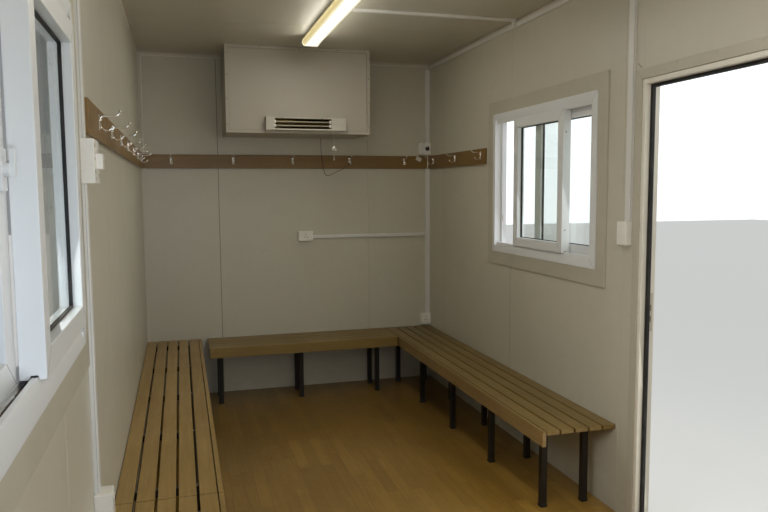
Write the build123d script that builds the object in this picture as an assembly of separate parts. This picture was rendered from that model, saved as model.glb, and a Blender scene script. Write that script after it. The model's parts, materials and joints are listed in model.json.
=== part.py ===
from build123d import *
import math
import os

# Portable site cabin: a sandwich panel box on a steel chassis, with a changing room inside.
# Millimetres. X runs across the cabin, towards the door side. Y runs along it, towards the far end.
# Z is up. The origin is on the ground, under the middle of the cabin.

# Shell
cabin_length = 6000
cabin_width = 2400
wall = 50
chassis_depth = 150
chassis_flange = 60
chassis_web = 8
joist_width = 50
joist_depth = 100
joist_count = 9
bearer_width = 80
bearer_wall = 5
deck = 19
vinyl = 3
ceiling_height = 2630
roof = 50
panel_width = 1200
far_panel_strip = 565
side_panel_strip = 350

# Panel joints: a tongue in a groove, with a fine gap and a small bevel at each face
joint_gap = 0.6
joint_bevel = 2
tongue_depth = 12
tongue_width = 16
groove_clearance = 0.4

# Roof ribs and edge covers
rib_height = 26
rib_foot = 70
rib_top = 34
ribs_per_panel = 3
fascia_drop = 60
fascia_rise = 36
fascia_flange = 60
sheet = 3

# Fine clearance between fixed pieces that meet
fit = 0.5

# Folded trims
post_leg = 60
post_sheet = 2
trim_leg = 22
trim_sheet = 2

# Sliding windows
window_width = 1230
window_height = 900
window_sill = 1185
right_window_from_end = 1305
left_window_from_end = 3630
window_face = 50
window_proud = 14
window_outside = 12
window_flange = 30
window_flange_sheet = 3
window_fit = 2
window_clearance = 2

# Their frame's head and sill, as depths past the wall face and heights from the frame's outer edge
front_height = 22
lip_start = -4
lip_thickness = 10
lip_height = 63
track_floor = 40
outer_track_start = 31
track_gap = 1
outer_sill_height = 52
jamb_pocket = 17

# Their sashes. The inner one straddles the frame's lip, and the outer one stands behind it.
sash_width = 595
sash_proud = 21
sash_depth = 49
sash_bottom = 57
sash_notch = 2.5
sash_face = 55
meeting_stile = 70
outer_sash_depth = 26
right_outer_sash = 670
left_outer_sash = 548
right_sash_open = 284
left_sash_open = 0
glass = 5
glass_seat = 8
glass_clearance = 0.3
inner_glass_depth = 10
outer_glass_depth = 50
architrave_width = 85
architrave_thickness = 10

# The catch on the left window's meeting stile
catch_height = 75
catch_width = 40
catch_plate = 8
catch_reach = 27
catch_cam = 13
catch_from_edge = 45

# Doorway and door
door_from_end = 2912
door_clear_width = 808
door_clear_height = 2059
jamb = 25
jamb_proud = 8
jamb_outside = 25
rebate = 10
rebate_start = 35
seal_reach = 15
seal_depth = 19
door_flange = 32
door_architrave = 45
leaf_thickness = 35
leaf_gap_stop = 5.5
leaf_gap_hinge = 10
leaf_gap_lock = 6.5
leaf_gap_head = 6
leaf_gap_sill = 6
sill_height = 9
hinge_count = 3
hinge_pin = 4
hinge_knuckle = 7
hinge_length = 100
hinge_running = 0.3
hinge_plate = 3
hinge_plate_width = 38
hinge_inset = 220
hinge_setback = 2.5
door_open = 90
handle_height = 1020
handle_backset = 62
lever_length = 115
lever_reach = 48
lever_radius = 9
rose_height = 170
rose_width = 38
rose_thickness = 8
lever_embed = 2

# Benches
bench_depth = 400
bench_height = 440
slat_thickness = 20
slat_width = 66
slat_gap = 11
slat_count = 5
fascia_board = 20
fascia_height = 75
bench_tube = 32
bench_rail = 25
bench_bar_start = 8
bench_front_leg = 315
bench_rear_leg = 85
bench_frames = 5
bench_inset_far = 110
bench_inset_near = 148
right_bench_to_door = 106.5
end_bench_frames = 3
end_bench_gap_left = 50
end_bench_gap_right = 5
end_bench_inset_left = 80
end_bench_inset_right = 150
left_bench_split = 2980
bench_module_gap = 5
wall_gap = 2

# Hook rails and double coat hooks
rail_height = 105
rail_thickness = 18
rail_bottom = 1770
left_rail_to_trunk = 67
right_rail_to_window = 43
hook_height = 1828
end_hook_pitch = 464
end_hook_start = 217
right_hook_pitch = 476
right_hook_start = 161
left_hook_pitch = 456
left_hook_start = 376
hook_plate_height = 54
hook_plate_width = 20
hook_plate_thickness = 3
hook_bar = 3.6
hook_bead = 6.5
upper_reach = 70
upper_root = 20
upper_tip = 37
lower_reach = 43
lower_depth = 28
lower_tip = 17

# Ceiling lights
light_length = 1500
light_width = 116
light_depth = 44
light_body_width = 84
light_body_depth = 26
light_far = 865
diffuser_overhang = 6
diffuser_chamfer = 14
diffuser_chamfer_height = 18
diffuser_taper = 4

# Service cover on the far wall, and the radiant heater in its lower front
cover_left = 605
cover_width = 1060
cover_depth = 465
cover_bottom = 2010
cover_edge = 24
cover_recess = 6
heater_left = 881
heater_width = 586
heater_height = 93
heater_depth = 60
heater_bottom = 2030
heater_wall = 3
heater_seat = 16
heater_slot_left = 62
heater_slot_width = 412
heater_slot_height = 72
heater_tube = 5
heater_tube_count = 2
heater_tube_pitch = 28
heater_tube_from_front = 22
reflector_from_front = 8
pull_cord_x = 1377
pull_cord_from_front = 20
pull_cord_length = 215
pull_cord_radius = 1.5
bell_drop = 108
bell_height = 36
bell_radius = 22
toggle_height = 26
toggle_radius = 6
cord_radius = 2

# Cable trunking and boxes
trunk_small = 25
trunk_large = 38
trunk_thickness = 16
door_trunk_gap = 17.5
left_trunk_gap = 45
cross_trunk_from_end = 1640
switch_width = 72
switch_height = 112
switch_depth = 34
switch_bottom = 1328
left_box_width = 122
left_box_height = 129
left_box_depth = 41
left_box_bottom = 1619
rocker_width = 50
rocker_height = 45
rocker_depth = 19
left_socket_top = 700
left_socket_height = 92
left_socket_depth = 50
end_socket_left = 1177
end_socket_width = 120
end_socket_height = 80
end_socket_depth = 38
end_socket_bottom = 1190
low_run_lift = 20
low_socket_width = 86
low_socket_height = 95
low_socket_depth = 38
low_socket_bottom = 455
isolator_size = 100
isolator_depth = 50
isolator_lift = 10
knob_radius = 17
knob_depth = 22
knob_sides = 12
knob_from_right = 34

inner_x = cabin_width / 2 - wall
inner_y = cabin_length / 2 - wall
outer_x = cabin_width / 2
outer_y = cabin_length / 2
deck_top = chassis_depth + deck
floor = deck_top + vinyl
ceiling = floor + ceiling_height
roof_top = ceiling + roof
window_low = floor + window_sill
window_high = window_low + window_height
right_window_far = inner_y - right_window_from_end
left_window_far = inner_y - left_window_from_end
door_far = inner_y - door_from_end
door_near = door_far - door_clear_width
architrave_far = door_far + jamb + fit + door_architrave
rail_low = floor + rail_bottom
rail_high = rail_low + rail_height


def block(x0, x1, y0, y1, z0, z1):
    """A box between two corners."""
    centre = Location(((x0 + x1) / 2, (y0 + y1) / 2, (z0 + z1) / 2))
    return centre * Box(abs(x1 - x0), abs(y1 - y0), abs(z1 - z0))


def prism_x(points, x0, x1):
    """An outline of (y, z) points, carried along X."""
    face = make_face(Polyline(*[(x0, y, z) for y, z in points], close=True))
    return extrude(face, amount=x1 - x0, dir=(1, 0, 0))


def prism_y(points, y0, y1):
    """An outline of (x, z) points, carried along Y."""
    face = make_face(Polyline(*[(x, y0, z) for x, z in points], close=True))
    return extrude(face, amount=y1 - y0, dir=(0, 1, 0))


def prism_z(points, z0, z1):
    """An outline of (x, y) points, carried along Z."""
    face = make_face(Polyline(*[(x, y, z0) for x, y in points], close=True))
    return extrude(face, amount=z1 - z0, dir=(0, 0, 1))


def rod(start, end, radius):
    """A round bar between two points."""
    line = Vector(*end) - Vector(*start)
    bar = Cylinder(radius, line.length, align=(Align.CENTER, Align.CENTER, Align.MIN))
    return Plane(origin=start, z_dir=line) * bar


def bent_bar(points, radius, sides):
    """A bar with mitred bends, round or with a few flat sides."""
    path = Polyline(*points)
    outline = RegularPolygon(radius, sides) if sides else Circle(radius)
    return sweep(Plane(origin=path @ 0, z_dir=path % 0) * outline, path=path, transition=Transition.RIGHT)


def tapered(point, low_radius, high_radius, height, sides):
    """An upright piece with flat sides, from one radius to another."""
    lean = math.degrees(math.atan(abs(low_radius - high_radius) * math.cos(math.pi / sides) / height))
    if low_radius > high_radius:
        return extrude(Plane(point) * RegularPolygon(low_radius, sides), amount=height, taper=lean)
    top = Plane(point).offset(height) * RegularPolygon(high_radius, sides)
    return extrude(top, amount=height, dir=(0, 0, -1), taper=lean)


def save(node, *solids):
    """Writes one piece, or several like pieces, as one file."""
    parts = [s for piece in solids for s in piece.solids()]
    shape = parts[0] if len(parts) == 1 else Compound(children=parts)
    export_step(shape, f"parts/{node}.step")


def chassis():
    """Steel channels round the floor, with joists between them."""
    flange, web, high = chassis_flange, chassis_web, chassis_depth
    outline = [(0, 0), (flange, 0), (flange, web), (web, web), (web, high - web), (flange, high - web),
               (flange, high), (0, high)]
    right = prism_y([(outer_x - x, z) for x, z in outline], -outer_y, outer_y)
    left = prism_y([(x - outer_x, z) for x, z in outline], -outer_y, outer_y)
    save("chassis_side_rails", left, right)
    reach = outer_x - flange - fit
    far = prism_x([(outer_y - y, z) for y, z in outline], -reach, reach)
    near = prism_x([(y - outer_y, z) for y, z in outline], -reach, reach)
    save("chassis_end_rails", near, far)
    joist_reach = outer_x - web - fit
    bearer_reach = outer_y - flange - fit
    pitch = cabin_length / (joist_count + 1)
    low = chassis_depth - joist_depth
    notch = chassis_depth - web - fit
    deck_reach = outer_x - flange - fit
    joists = []
    for i in range(joist_count):
        y = -outer_y + pitch * (i + 1)
        y0, y1 = y - joist_width / 2, y + joist_width / 2
        joist = block(-joist_reach, joist_reach, y0, y1, low, notch)
        joists.append(joist + block(-deck_reach, deck_reach, y0, y1, notch, chassis_depth))
    save("floor_joists", *joists)
    half, inside = bearer_width / 2, bearer_width / 2 - bearer_wall
    bearer = block(-half, half, -bearer_reach, bearer_reach, 0, low)
    bearer -= block(-inside, inside, -bearer_reach - 1, bearer_reach + 1, bearer_wall, low - bearer_wall)
    save("chassis_centre_bearer", bearer)
    save("floor_deck", block(-outer_x, outer_x, -outer_y, outer_y, chassis_depth, deck_top))
    save("floor_vinyl", block(-inner_x, inner_x, -inner_y, inner_y, deck_top, floor))


def panel_outline(a, b, joint_a, joint_b, thickness):
    """One panel seen on its edge, from a to b, with a groove at a and a tongue at b where they join."""
    mid, half = thickness / 2, tongue_width / 2
    points = []
    if joint_a:
        x = a + joint_gap / 2
        deep = x + tongue_depth + groove_clearance
        wide = half + groove_clearance
        points += [(x + joint_bevel, 0), (x, joint_bevel), (x, mid - wide), (deep, mid - wide),
                   (deep, mid + wide), (x, mid + wide), (x, thickness - joint_bevel), (x + joint_bevel, thickness)]
    else:
        points += [(a, 0), (a, thickness)]
    if joint_b:
        x = b - joint_gap / 2
        end = x + tongue_depth
        points += [(x - joint_bevel, thickness), (x, thickness - joint_bevel), (x, mid + half), (end, mid + half),
                   (end, mid - half), (x, mid - half), (x, joint_bevel), (x - joint_bevel, 0)]
    else:
        points += [(b, thickness), (b, 0)]
    return points


def panel_edges(low, high, first):
    """Where the panels of a wall meet, from low to high, with the first joint at a given place."""
    edges = [low]
    joint = first
    while joint < high:
        if joint > low:
            edges.append(joint)
        joint += panel_width
    return edges + [high]


def panels(low, high, first, thickness, place):
    """A run of panels, each put in its wall by the place function."""
    edges = panel_edges(low, high, first)
    row = []
    for i in range(len(edges) - 1):
        joined = (i > 0, i < len(edges) - 2)
        row.append(place(panel_outline(edges[i], edges[i + 1], *joined, thickness)))
    return row


side_joint = inner_y - side_panel_strip
first_side_joint = side_joint - panel_width * math.floor((side_joint + outer_y) / panel_width)


def window_hole(far, side):
    """The space that a window takes out of a side wall."""
    hole = block(inner_x - 1, outer_x + 1, far - window_width - window_fit, far + window_fit,
                 window_low - window_fit, window_high + window_fit)
    return hole if side > 0 else mirror(hole, Plane.YZ)


wall_door_far = door_far + jamb + 2 * fit
wall_door_near = door_near - jamb - 2 * fit
wall_door_top = floor + door_clear_height + jamb + 2 * fit


def walls():
    """Side walls the full length, end walls between them."""
    def side(sign):
        def place(points):
            return prism_z([(sign * (inner_x + d), y) for y, d in points], deck_top, ceiling)
        return place

    def end(sign):
        def place(points):
            return prism_z([(x, sign * (inner_y + d)) for x, d in points], deck_top, ceiling)
        return place

    left = panels(-outer_y, outer_y, first_side_joint, wall, side(-1))
    save("left_wall", *[p - window_hole(left_window_far, -1) for p in left])
    right = panels(wall_door_far, outer_y, first_side_joint, wall, side(1))
    save("right_wall_window_side", *[p - window_hole(right_window_far, 1) for p in right])
    save("right_wall_near_side", *panels(-outer_y, wall_door_near, first_side_joint, wall, side(1)))
    save("right_wall_over_door", block(inner_x, outer_x, wall_door_near + joint_gap, wall_door_far - joint_gap,
                                       wall_door_top, ceiling))
    first = -inner_x + far_panel_strip
    save("far_end_wall", *panels(-inner_x + joint_gap, inner_x - joint_gap, first, wall, end(1)))
    save("near_end_wall", *panels(-inner_x + joint_gap, inner_x - joint_gap, first, wall, end(-1)))


def roofing():
    """Roof panels across the cabin with raised ribs, and folded covers round the edge."""
    def place(points):
        return prism_x([(y, ceiling + d) for y, d in points], -outer_x, outer_x)

    edges = panel_edges(-outer_y, outer_y, -outer_y + panel_width)
    row = panels(-outer_y, outer_y, -outer_y + panel_width, roof, place)
    ribbed = []
    for i, panel in enumerate(row):
        pitch = (edges[i + 1] - edges[i]) / ribs_per_panel
        for k in range(ribs_per_panel):
            y = edges[i] + pitch * (k + 0.5)
            rib = prism_x([(y - rib_foot / 2, roof_top), (y + rib_foot / 2, roof_top),
                           (y + rib_top / 2, roof_top + rib_height), (y - rib_top / 2, roof_top + rib_height)],
                          -outer_x, outer_x)
            panel = panel + rib
        ribbed.append(panel)
    save("roof_panels", *ribbed)
    low, high = ceiling - fascia_drop, roof_top + fascia_rise
    side = [(outer_x, low), (outer_x + sheet, low), (outer_x + sheet, high), (outer_x - fascia_flange, high),
            (outer_x - fascia_flange, high - sheet), (outer_x, high - sheet)]
    right = prism_y(side, -outer_y - sheet, outer_y + sheet)
    left = mirror(right, Plane.YZ)
    reach = outer_x - joint_gap
    top_reach = outer_x - fascia_flange - joint_gap
    far = block(-reach, reach, outer_y, outer_y + sheet, low, high)
    far += block(-top_reach, top_reach, outer_y - fascia_flange, outer_y + sheet, high - sheet, high)
    near = mirror(far, Plane.XZ)
    save("roof_edge_covers", left, right, near, far)


def trims():
    """Folded angles on the outside corners, in the inside corners and round the ceiling."""
    top = ceiling - fascia_drop - 2 * fit
    x, y = outer_x, outer_y
    angle = [(x - post_leg, y), (x, y), (x, y - post_leg), (x + post_sheet, y - post_leg),
             (x + post_sheet, y + post_sheet), (x - post_leg, y + post_sheet)]
    corner = prism_z(angle, 0, top)
    save("corner_angles_outside", corner, mirror(corner, Plane.YZ), mirror(corner, Plane.XZ),
         mirror(mirror(corner, Plane.YZ), Plane.XZ))
    x, y, leg, t = inner_x, inner_y, trim_leg, trim_sheet
    angle = [(x, y), (x - leg, y), (x - leg, y - t), (x - t, y - t), (x - t, y - leg), (x, y - leg)]
    post = prism_z(angle, floor, ceiling)
    posts = [post, mirror(post, Plane.YZ), mirror(post, Plane.XZ), mirror(mirror(post, Plane.YZ), Plane.XZ)]
    z = ceiling
    along = prism_y([(x, z), (x - leg, z), (x - leg, z - t), (x - t, z - t), (x - t, z - leg), (x, z - leg)],
                    -inner_y + leg + fit, inner_y - leg - fit)
    across = prism_x([(y, z), (y - leg, z), (y - leg, z - t), (y - t, z - t), (y - t, z - leg), (y, z - leg)],
                     -inner_x + leg + fit, inner_x - leg - fit)
    save("corner_trims_inside", *posts)
    save("ceiling_trims", along, mirror(along, Plane.YZ), across, mirror(across, Plane.XZ))


def ring(d0, d1, y0, y1, z0, z1, face):
    """A rectangular frame on the right wall, from depth d0 to d1 past the inner wall face."""
    outer = block(inner_x + d0, inner_x + d1, y0, y1, z0, z1)
    return outer - block(inner_x + d0 - 1, inner_x + d1 + 1, y0 + face, y1 - face, z0 + face, z1 - face)


def window_frame(near, far):
    """The fixed frame: a sill and a head with a lip and two tracks, jambs, and a flange outside."""
    lip_end, back = lip_start + lip_thickness, wall + window_outside
    section = [(-window_proud, 0), (-window_proud, front_height), (lip_start, lip_height), (lip_end, lip_height),
               (lip_end, track_floor), (outer_track_start, track_floor), (outer_track_start, outer_sill_height),
               (back, outer_sill_height), (back, 0)]
    sill = prism_y([(inner_x + d, window_low + h) for d, h in section], near, far)
    head = prism_y([(inner_x + d, window_high - h) for d, h in section], near, far)
    frame = sill + head
    for y0, y1 in ((near, near + window_face), (far - window_face, far)):
        frame += block(inner_x - window_proud, inner_x + back, y0, y1, window_low, window_high)
    frame -= block(inner_x - window_proud - 1, inner_x + outer_track_start, far - window_face - 1,
                   far - window_face + jamb_pocket, window_low + track_floor, window_high - track_floor)
    edge = window_flange
    return frame + ring(wall, wall + window_flange_sheet, near - edge, far + edge, window_low - edge,
                        window_high + edge, edge + 1)


def sash(d0, depth, y0, y1, z0, z1, far_stile, glass_at):
    """A glazed sash, grooved for its pane. Returns the sash and the pane."""
    frame = block(inner_x + d0, inner_x + d0 + depth, y0, y1, z0, z1)
    frame -= block(inner_x + d0 - 1, inner_x + d0 + depth + 1, y0 + sash_face, y1 - far_stile,
                   z0 + sash_face, z1 - sash_face)
    seat, gap = glass_seat, glass_clearance
    mid, groove = inner_x + glass_at, glass / 2 + glass_clearance
    low, high = z0 + sash_face - seat, z1 - sash_face + seat
    near, far = y0 + sash_face - seat, y1 - far_stile + seat
    frame -= block(mid - groove, mid + groove, near, far, low, high)
    pane = block(mid - glass / 2, mid + glass / 2, near + gap, far - gap, low + gap, high - gap)
    return frame, pane


def window(far, opened, outer_width):
    """A sliding window in the right wall: frame, inner sash, outer sash, panes and architrave."""
    near = far - window_width
    y1 = far - window_face + jamb_pocket - window_clearance - opened
    y0 = y1 - sash_width
    z0, z1 = window_low + sash_bottom, window_high - sash_bottom - window_clearance
    inner, inner_pane = sash(-sash_proud, sash_depth, y0, y1, z0, z1, sash_face, inner_glass_depth)
    notch0, notch1 = inner_x + lip_start - sash_notch, inner_x + lip_start + lip_thickness + sash_notch
    inner -= block(notch0, notch1, y0 - 1, y1 + 1, z0 - 1, window_low + lip_height)
    inner -= block(notch0, notch1, y0 - 1, y1 + 1, window_high - lip_height - sash_notch, z1 + 1)
    start = near + window_face + window_clearance
    outer, outer_pane = sash(outer_track_start + track_gap, outer_sash_depth, start, start + outer_width,
                             window_low + outer_sill_height, window_high - outer_sill_height - window_clearance,
                             meeting_stile, outer_glass_depth)
    edge = architrave_width
    cover = ring(-architrave_thickness, 0, near - edge, far + edge, window_low - edge, window_high + edge,
                 edge - fit)
    return window_frame(near, far), inner, outer, (inner_pane, outer_pane), cover


def window_catch(stile_far):
    """A cam catch on the outer sash's meeting stile: a plate, a round cam and its lever."""
    y, z = stile_far - catch_from_edge, (window_low + window_high) / 2
    seat = inner_x + outer_track_start + track_gap
    face, tip = seat - catch_plate, seat - catch_reach
    plate = block(face, seat, y - catch_width / 2, y + catch_width / 2, z - catch_height / 2,
                  z + catch_height / 2)
    cam = Plane(origin=(face, y, z), z_dir=(-1, 0, 0)) * RegularPolygon(catch_cam, knob_sides)
    cam = extrude(cam, amount=(face - tip) / 2)
    lever = block(tip, (face + tip) / 2, y - catch_cam / 2, y + catch_cam / 2, z - catch_cam,
                  z + catch_height / 2)
    return plate + cam + lever


def windows():
    """The same window in both side walls, with the sashes where they stand."""
    flip = Plane.YZ
    right = window(right_window_far, right_sash_open, right_outer_sash)
    left = window(left_window_far, left_sash_open, left_outer_sash)
    for i, node in enumerate(("window_frames", "window_inner_sashes", "window_outer_sashes")):
        save(node, right[i], mirror(left[i], flip))
    save("window_glass", *right[3], *[mirror(p, flip) for p in left[3]])
    save("window_architraves", right[4], mirror(left[4], flip))
    stile_far = left_window_far - window_width + window_face + window_clearance + left_outer_sash
    save("window_catches", mirror(window_catch(stile_far), flip))


leaf_far = door_far + rebate - leaf_gap_lock
leaf_near = door_near - rebate + leaf_gap_hinge
leaf_inside = inner_x + rebate_start + leaf_gap_stop
leaf_outside = leaf_inside + leaf_thickness
frame_outside = outer_x + jamb_outside
hinge_x = leaf_outside + hinge_knuckle + fit
hinge_y = leaf_near - hinge_setback
leaf_bottom = deck_top + sill_height + leaf_gap_sill
leaf_top = floor + door_clear_height + rebate - leaf_gap_head


def swung(shape):
    """Turns a piece of the closed door to where the door stands open."""
    pin = Axis((hinge_x, hinge_y, 0), (0, 0, -1))
    return shape.rotate(pin, door_open)


def hinge_heights():
    low, high = leaf_bottom + hinge_inset, leaf_top - hinge_inset
    return [low + (high - low) * i / (hinge_count - 1) for i in range(hinge_count)]


def doorway():
    """Door frame with a rebate, its seal, sill and architrave."""
    x0, x1, x2 = inner_x - jamb_proud, inner_x + rebate_start, frame_outside
    low, head = deck_top, floor + door_clear_height

    def jamb_outline(edge, s):
        return [(x0, edge), (x1, edge), (x1, edge + s * rebate), (x2, edge + s * rebate), (x2, edge + s * jamb),
                (outer_x + sheet, edge + s * jamb), (outer_x + sheet, edge + s * (jamb + door_flange)),
                (outer_x, edge + s * (jamb + door_flange)), (outer_x, edge + s * jamb), (x0, edge + s * jamb)]

    far = prism_z(jamb_outline(door_far, 1), low, head + jamb)
    near = prism_z(jamb_outline(door_near, -1), low, head + jamb)
    top = prism_y([(x0, head), (x1, head), (x1, head + rebate), (x2, head + rebate), (x2, head + jamb),
                   (outer_x + sheet, head + jamb), (outer_x + sheet, head + jamb + door_flange),
                   (outer_x, head + jamb + door_flange), (outer_x, head + jamb), (x0, head + jamb)],
                  door_near - jamb, door_far + jamb)
    frame = far + near + top
    frame -= block(x0 - 1, inner_x, door_near - jamb, door_far + jamb, low, floor)
    save("door_frame", frame)
    foot, reach = low + sill_height + fit, seal_reach
    strips = block(x1 - seal_depth, x1, door_near, door_far, foot, head)
    strips -= block(x1 - seal_depth - 1, x1 + 1, door_near + reach, door_far - reach, foot - 1, head - reach)
    save("door_seal", strips)
    save("door_sill", block(inner_x + fit, frame_outside, door_near + fit, door_far - fit,
                            deck_top, deck_top + sill_height))
    a0, a1, edge = inner_x - architrave_thickness, inner_x, door_architrave
    inside_far, inside_near, inside_top = door_far + jamb + fit, door_near - jamb - fit, head + jamb + fit
    cover = block(a0, a1, inside_near - edge, inside_far + edge, floor, inside_top + edge)
    cover -= block(a0 - 1, a1 + 1, inside_near, inside_far, floor - 1, inside_top)
    save("door_architrave", cover)


def hinges():
    """Lift off hinges: the pin and lower knuckle on the frame, the upper knuckle on the door."""
    fixed, moving = [], []
    half = hinge_length / 2
    plate_x = frame_outside
    for z in hinge_heights():
        low, high = z - half, z + half
        lower = rod((hinge_x, hinge_y, low), (hinge_x, hinge_y, z - hinge_running / 2), hinge_knuckle)
        pin = rod((hinge_x, hinge_y, low), (hinge_x, hinge_y, high), hinge_pin)
        plate = block(plate_x, plate_x + hinge_plate, hinge_y - hinge_plate_width, hinge_y, low,
                      z - hinge_running / 2)
        fixed.append(lower + pin + plate)
        upper = rod((hinge_x, hinge_y, z + hinge_running / 2), (hinge_x, hinge_y, high), hinge_knuckle)
        leaf_plate = block(leaf_outside, leaf_outside + hinge_plate, hinge_y, hinge_y + hinge_plate_width,
                           z + hinge_running / 2, high)
        bore = rod((hinge_x, hinge_y, z - 1), (hinge_x, hinge_y, high + 1), hinge_pin + hinge_running)
        moving.append(swung(upper + leaf_plate - bore))
    save("door_hinges_fixed", *fixed)
    save("door_hinges_moving", *moving)


def lever(x, direction, z, y):
    """One lever handle on its plate."""
    plate = block(x, x + direction * rose_thickness, y - rose_width / 2, y + rose_width / 2,
                  z - rose_height / 2, z + rose_height / 2)
    out = x + direction * (rose_thickness + lever_reach)
    line = [(x + direction * lever_embed, y, z), (out, y, z), (out, y - lever_length, z)]
    return plate + bent_bar(line, lever_radius, 0)


def door():
    """The door leaf with its lever handles, standing open."""
    leaf = block(leaf_inside, leaf_outside, leaf_near, leaf_far, leaf_bottom, leaf_top)
    save("door_leaf", swung(leaf))
    y, z = leaf_far - handle_backset, floor + handle_height
    save("door_handles", swung(lever(leaf_inside, -1, z, y)), swung(lever(leaf_outside, 1, z, y)))


def bench_boards(length):
    """Slats and a front board. The wall is at x 0, the near end at y 0."""
    top = floor + bench_height
    boards = []
    for i in range(slat_count):
        x = wall_gap + i * (slat_width + slat_gap)
        boards.append(block(x, x + slat_width, 0, length, top - slat_thickness, top))
    boards.append(block(bench_depth - fascia_board, bench_depth, 0, length, top - fascia_height, top))
    return boards


def bench_frame(length, frames, inset_near, inset_far):
    """Legs of square tube, the cross bars on them, and two rails between the cross bars."""
    top = floor + bench_height - slat_thickness
    half = bench_tube / 2
    pitch = (length - inset_near - inset_far) / (frames - 1)
    legs, bars, rails = [], [], []
    for i in range(frames):
        y = inset_near + pitch * i
        bars.append(block(bench_bar_start, bench_depth - fascia_board, y - half, y + half,
                          top - bench_tube, top))
        for x in (bench_rear_leg, bench_front_leg):
            legs.append(block(x - half, x + half, y - half, y + half, floor, top - bench_tube))
            if i < frames - 1:
                rails.append(block(x - bench_rail / 2, x + bench_rail / 2, y + half, y + pitch - half,
                                   top - bench_rail, top))
    return legs, bars, rails


def benches():
    """Benches along the left wall, across the far end and along the right wall."""
    def left(shape, y):
        return Location((-inner_x, y, 0)) * shape

    def right(shape, y):
        return Location((0, y, 0)) * mirror(shape, Plane.YZ).translate((inner_x, 0, 0))

    def end(shape, x):
        return shape.rotate(Axis.Z, -90).translate((x, inner_y, 0))

    far = inner_y - wall_gap
    split = inner_y - left_bench_split
    near = -inner_y + wall_gap
    right_near = architrave_far + right_bench_to_door
    end_start = -inner_x + bench_depth + end_bench_gap_left
    end_length = inner_x - bench_depth - end_bench_gap_right - end_start
    side_inset = (bench_inset_near, bench_inset_far)
    end_inset = (end_bench_inset_left, end_bench_inset_right)
    modules = [("left", left, split, far - split, bench_frames, side_inset),
               ("left", left, near, split - bench_module_gap - near, bench_frames, side_inset),
               ("right", right, right_near, far - right_near, bench_frames, side_inset),
               ("end", end, end_start, end_length, end_bench_frames, end_inset)]
    boards = {"left": [], "right": [], "end": []}
    legs, bars, rails = [], [], []
    for side, place, start, length, frames, inset in modules:
        boards[side] += [place(b, start) for b in bench_boards(length)]
        for pieces, made in zip((legs, bars, rails), bench_frame(length, frames, *inset)):
            pieces += [place(m, start) for m in made]
    for side, made in boards.items():
        save(f"{side}_bench_boards", *made)
    save("bench_legs", *legs)
    save("bench_cross_bars", *bars)
    save("bench_rails", *rails)


def coat_hook():
    """A double hook on its plate. The wall is at y 0 and the hook points to minus y."""
    t, sides = hook_plate_thickness, 6
    half_width, half_height = hook_plate_width / 2, hook_plate_height / 2
    plate = block(-half_width, half_width, -t, 0, -half_height, half_height)
    upper = [(0, -hook_bar, upper_root / 4), (0, -upper_reach / 6, upper_root - hook_bar),
             (0, -upper_reach / 4, upper_root), (0, -upper_reach * 0.8, upper_root + 1),
             (0, -upper_reach, upper_tip)]
    lower = [(0, -hook_bar, -upper_root / 4), (0, -lower_reach / 6, -lower_depth / 2),
             (0, -lower_reach / 3, -lower_depth * 0.85), (0, -lower_reach * 0.55, -lower_depth),
             (0, -lower_reach * 0.85, -lower_depth * 0.9), (0, -lower_reach, -lower_tip)]
    hook = plate
    for bar in (upper, lower):
        x, y, z = bar[-1]
        hook += bent_bar(bar, hook_bar, sides)
        hook += tapered((x, y, z), hook_bead, hook_bar, hook_bead, sides)
        hook += tapered((x, y, z - hook_bead), hook_bar, hook_bead, hook_bead, sides)
    return hook


def hook_row(hook, turn, start, along, pitch, length):
    """Hooks along a rail, from a start on it, as many as it has room for."""
    turned = hook.rotate(Axis.Z, turn)
    count = 1 + math.floor((length - hook_plate_width) / pitch)
    return [turned.translate(start + along * (pitch * i)) for i in range(count)]


def hook_rails():
    """A rail on three walls, each with its row of hooks."""
    t = rail_thickness
    reach = inner_x - trim_sheet - fit
    end = block(-reach, reach, inner_y - t, inner_y, rail_low, rail_high)
    for side in (-1, 1):
        end -= block(side * (inner_x - trim_leg - fit), side * inner_x, inner_y - trim_sheet - fit,
                     inner_y + 1, rail_low - 1, rail_high + 1)
    start = inner_y - trim_leg - fit
    left_near = left_window_far + architrave_width + left_trunk_gap + trunk_large + left_rail_to_trunk
    right_near = right_window_far + architrave_width + right_rail_to_window
    left = block(-inner_x, -inner_x + t, left_near, start, rail_low, rail_high)
    right = block(inner_x - t, inner_x, right_near, start, rail_low, rail_high)
    save("hook_rails", end, left, right)
    hook = coat_hook()
    z = floor + hook_height
    hooks = hook_row(hook, 0, Vector(-inner_x + end_hook_start, inner_y - t, z), Vector(1, 0, 0),
                     end_hook_pitch, 2 * inner_x - end_hook_start)
    hooks += hook_row(hook, -90, Vector(inner_x - t, inner_y - right_hook_start, z), Vector(0, -1, 0),
                      right_hook_pitch, inner_y - right_hook_start - right_near)
    hooks += hook_row(hook, 90, Vector(-inner_x + t, inner_y - left_hook_start, z), Vector(0, -1, 0),
                      left_hook_pitch, inner_y - left_hook_start - left_near)
    save("coat_hooks", *hooks)


def lights():
    """Two ceiling battens, each a steel body with a diffuser under it."""
    half = light_body_width / 2
    far = inner_y - light_far
    near = far - light_length
    body_low = ceiling - light_body_depth
    body = block(-half, half, near, far, body_low, ceiling)
    low = ceiling - light_body_depth - light_depth
    w, top, side = light_width / 2, light_width / 2 - diffuser_taper, low + diffuser_chamfer_height
    bottom = w - diffuser_chamfer
    outline = [(-bottom, low), (bottom, low), (w, side), (top, body_low), (-top, body_low), (-w, side)]
    diffuser = prism_y(outline, near - diffuser_overhang, far + diffuser_overhang)
    other = Plane.XZ
    save("light_bodies", body, mirror(body, other))
    save("light_diffusers", diffuser, mirror(diffuser, other))


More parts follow.
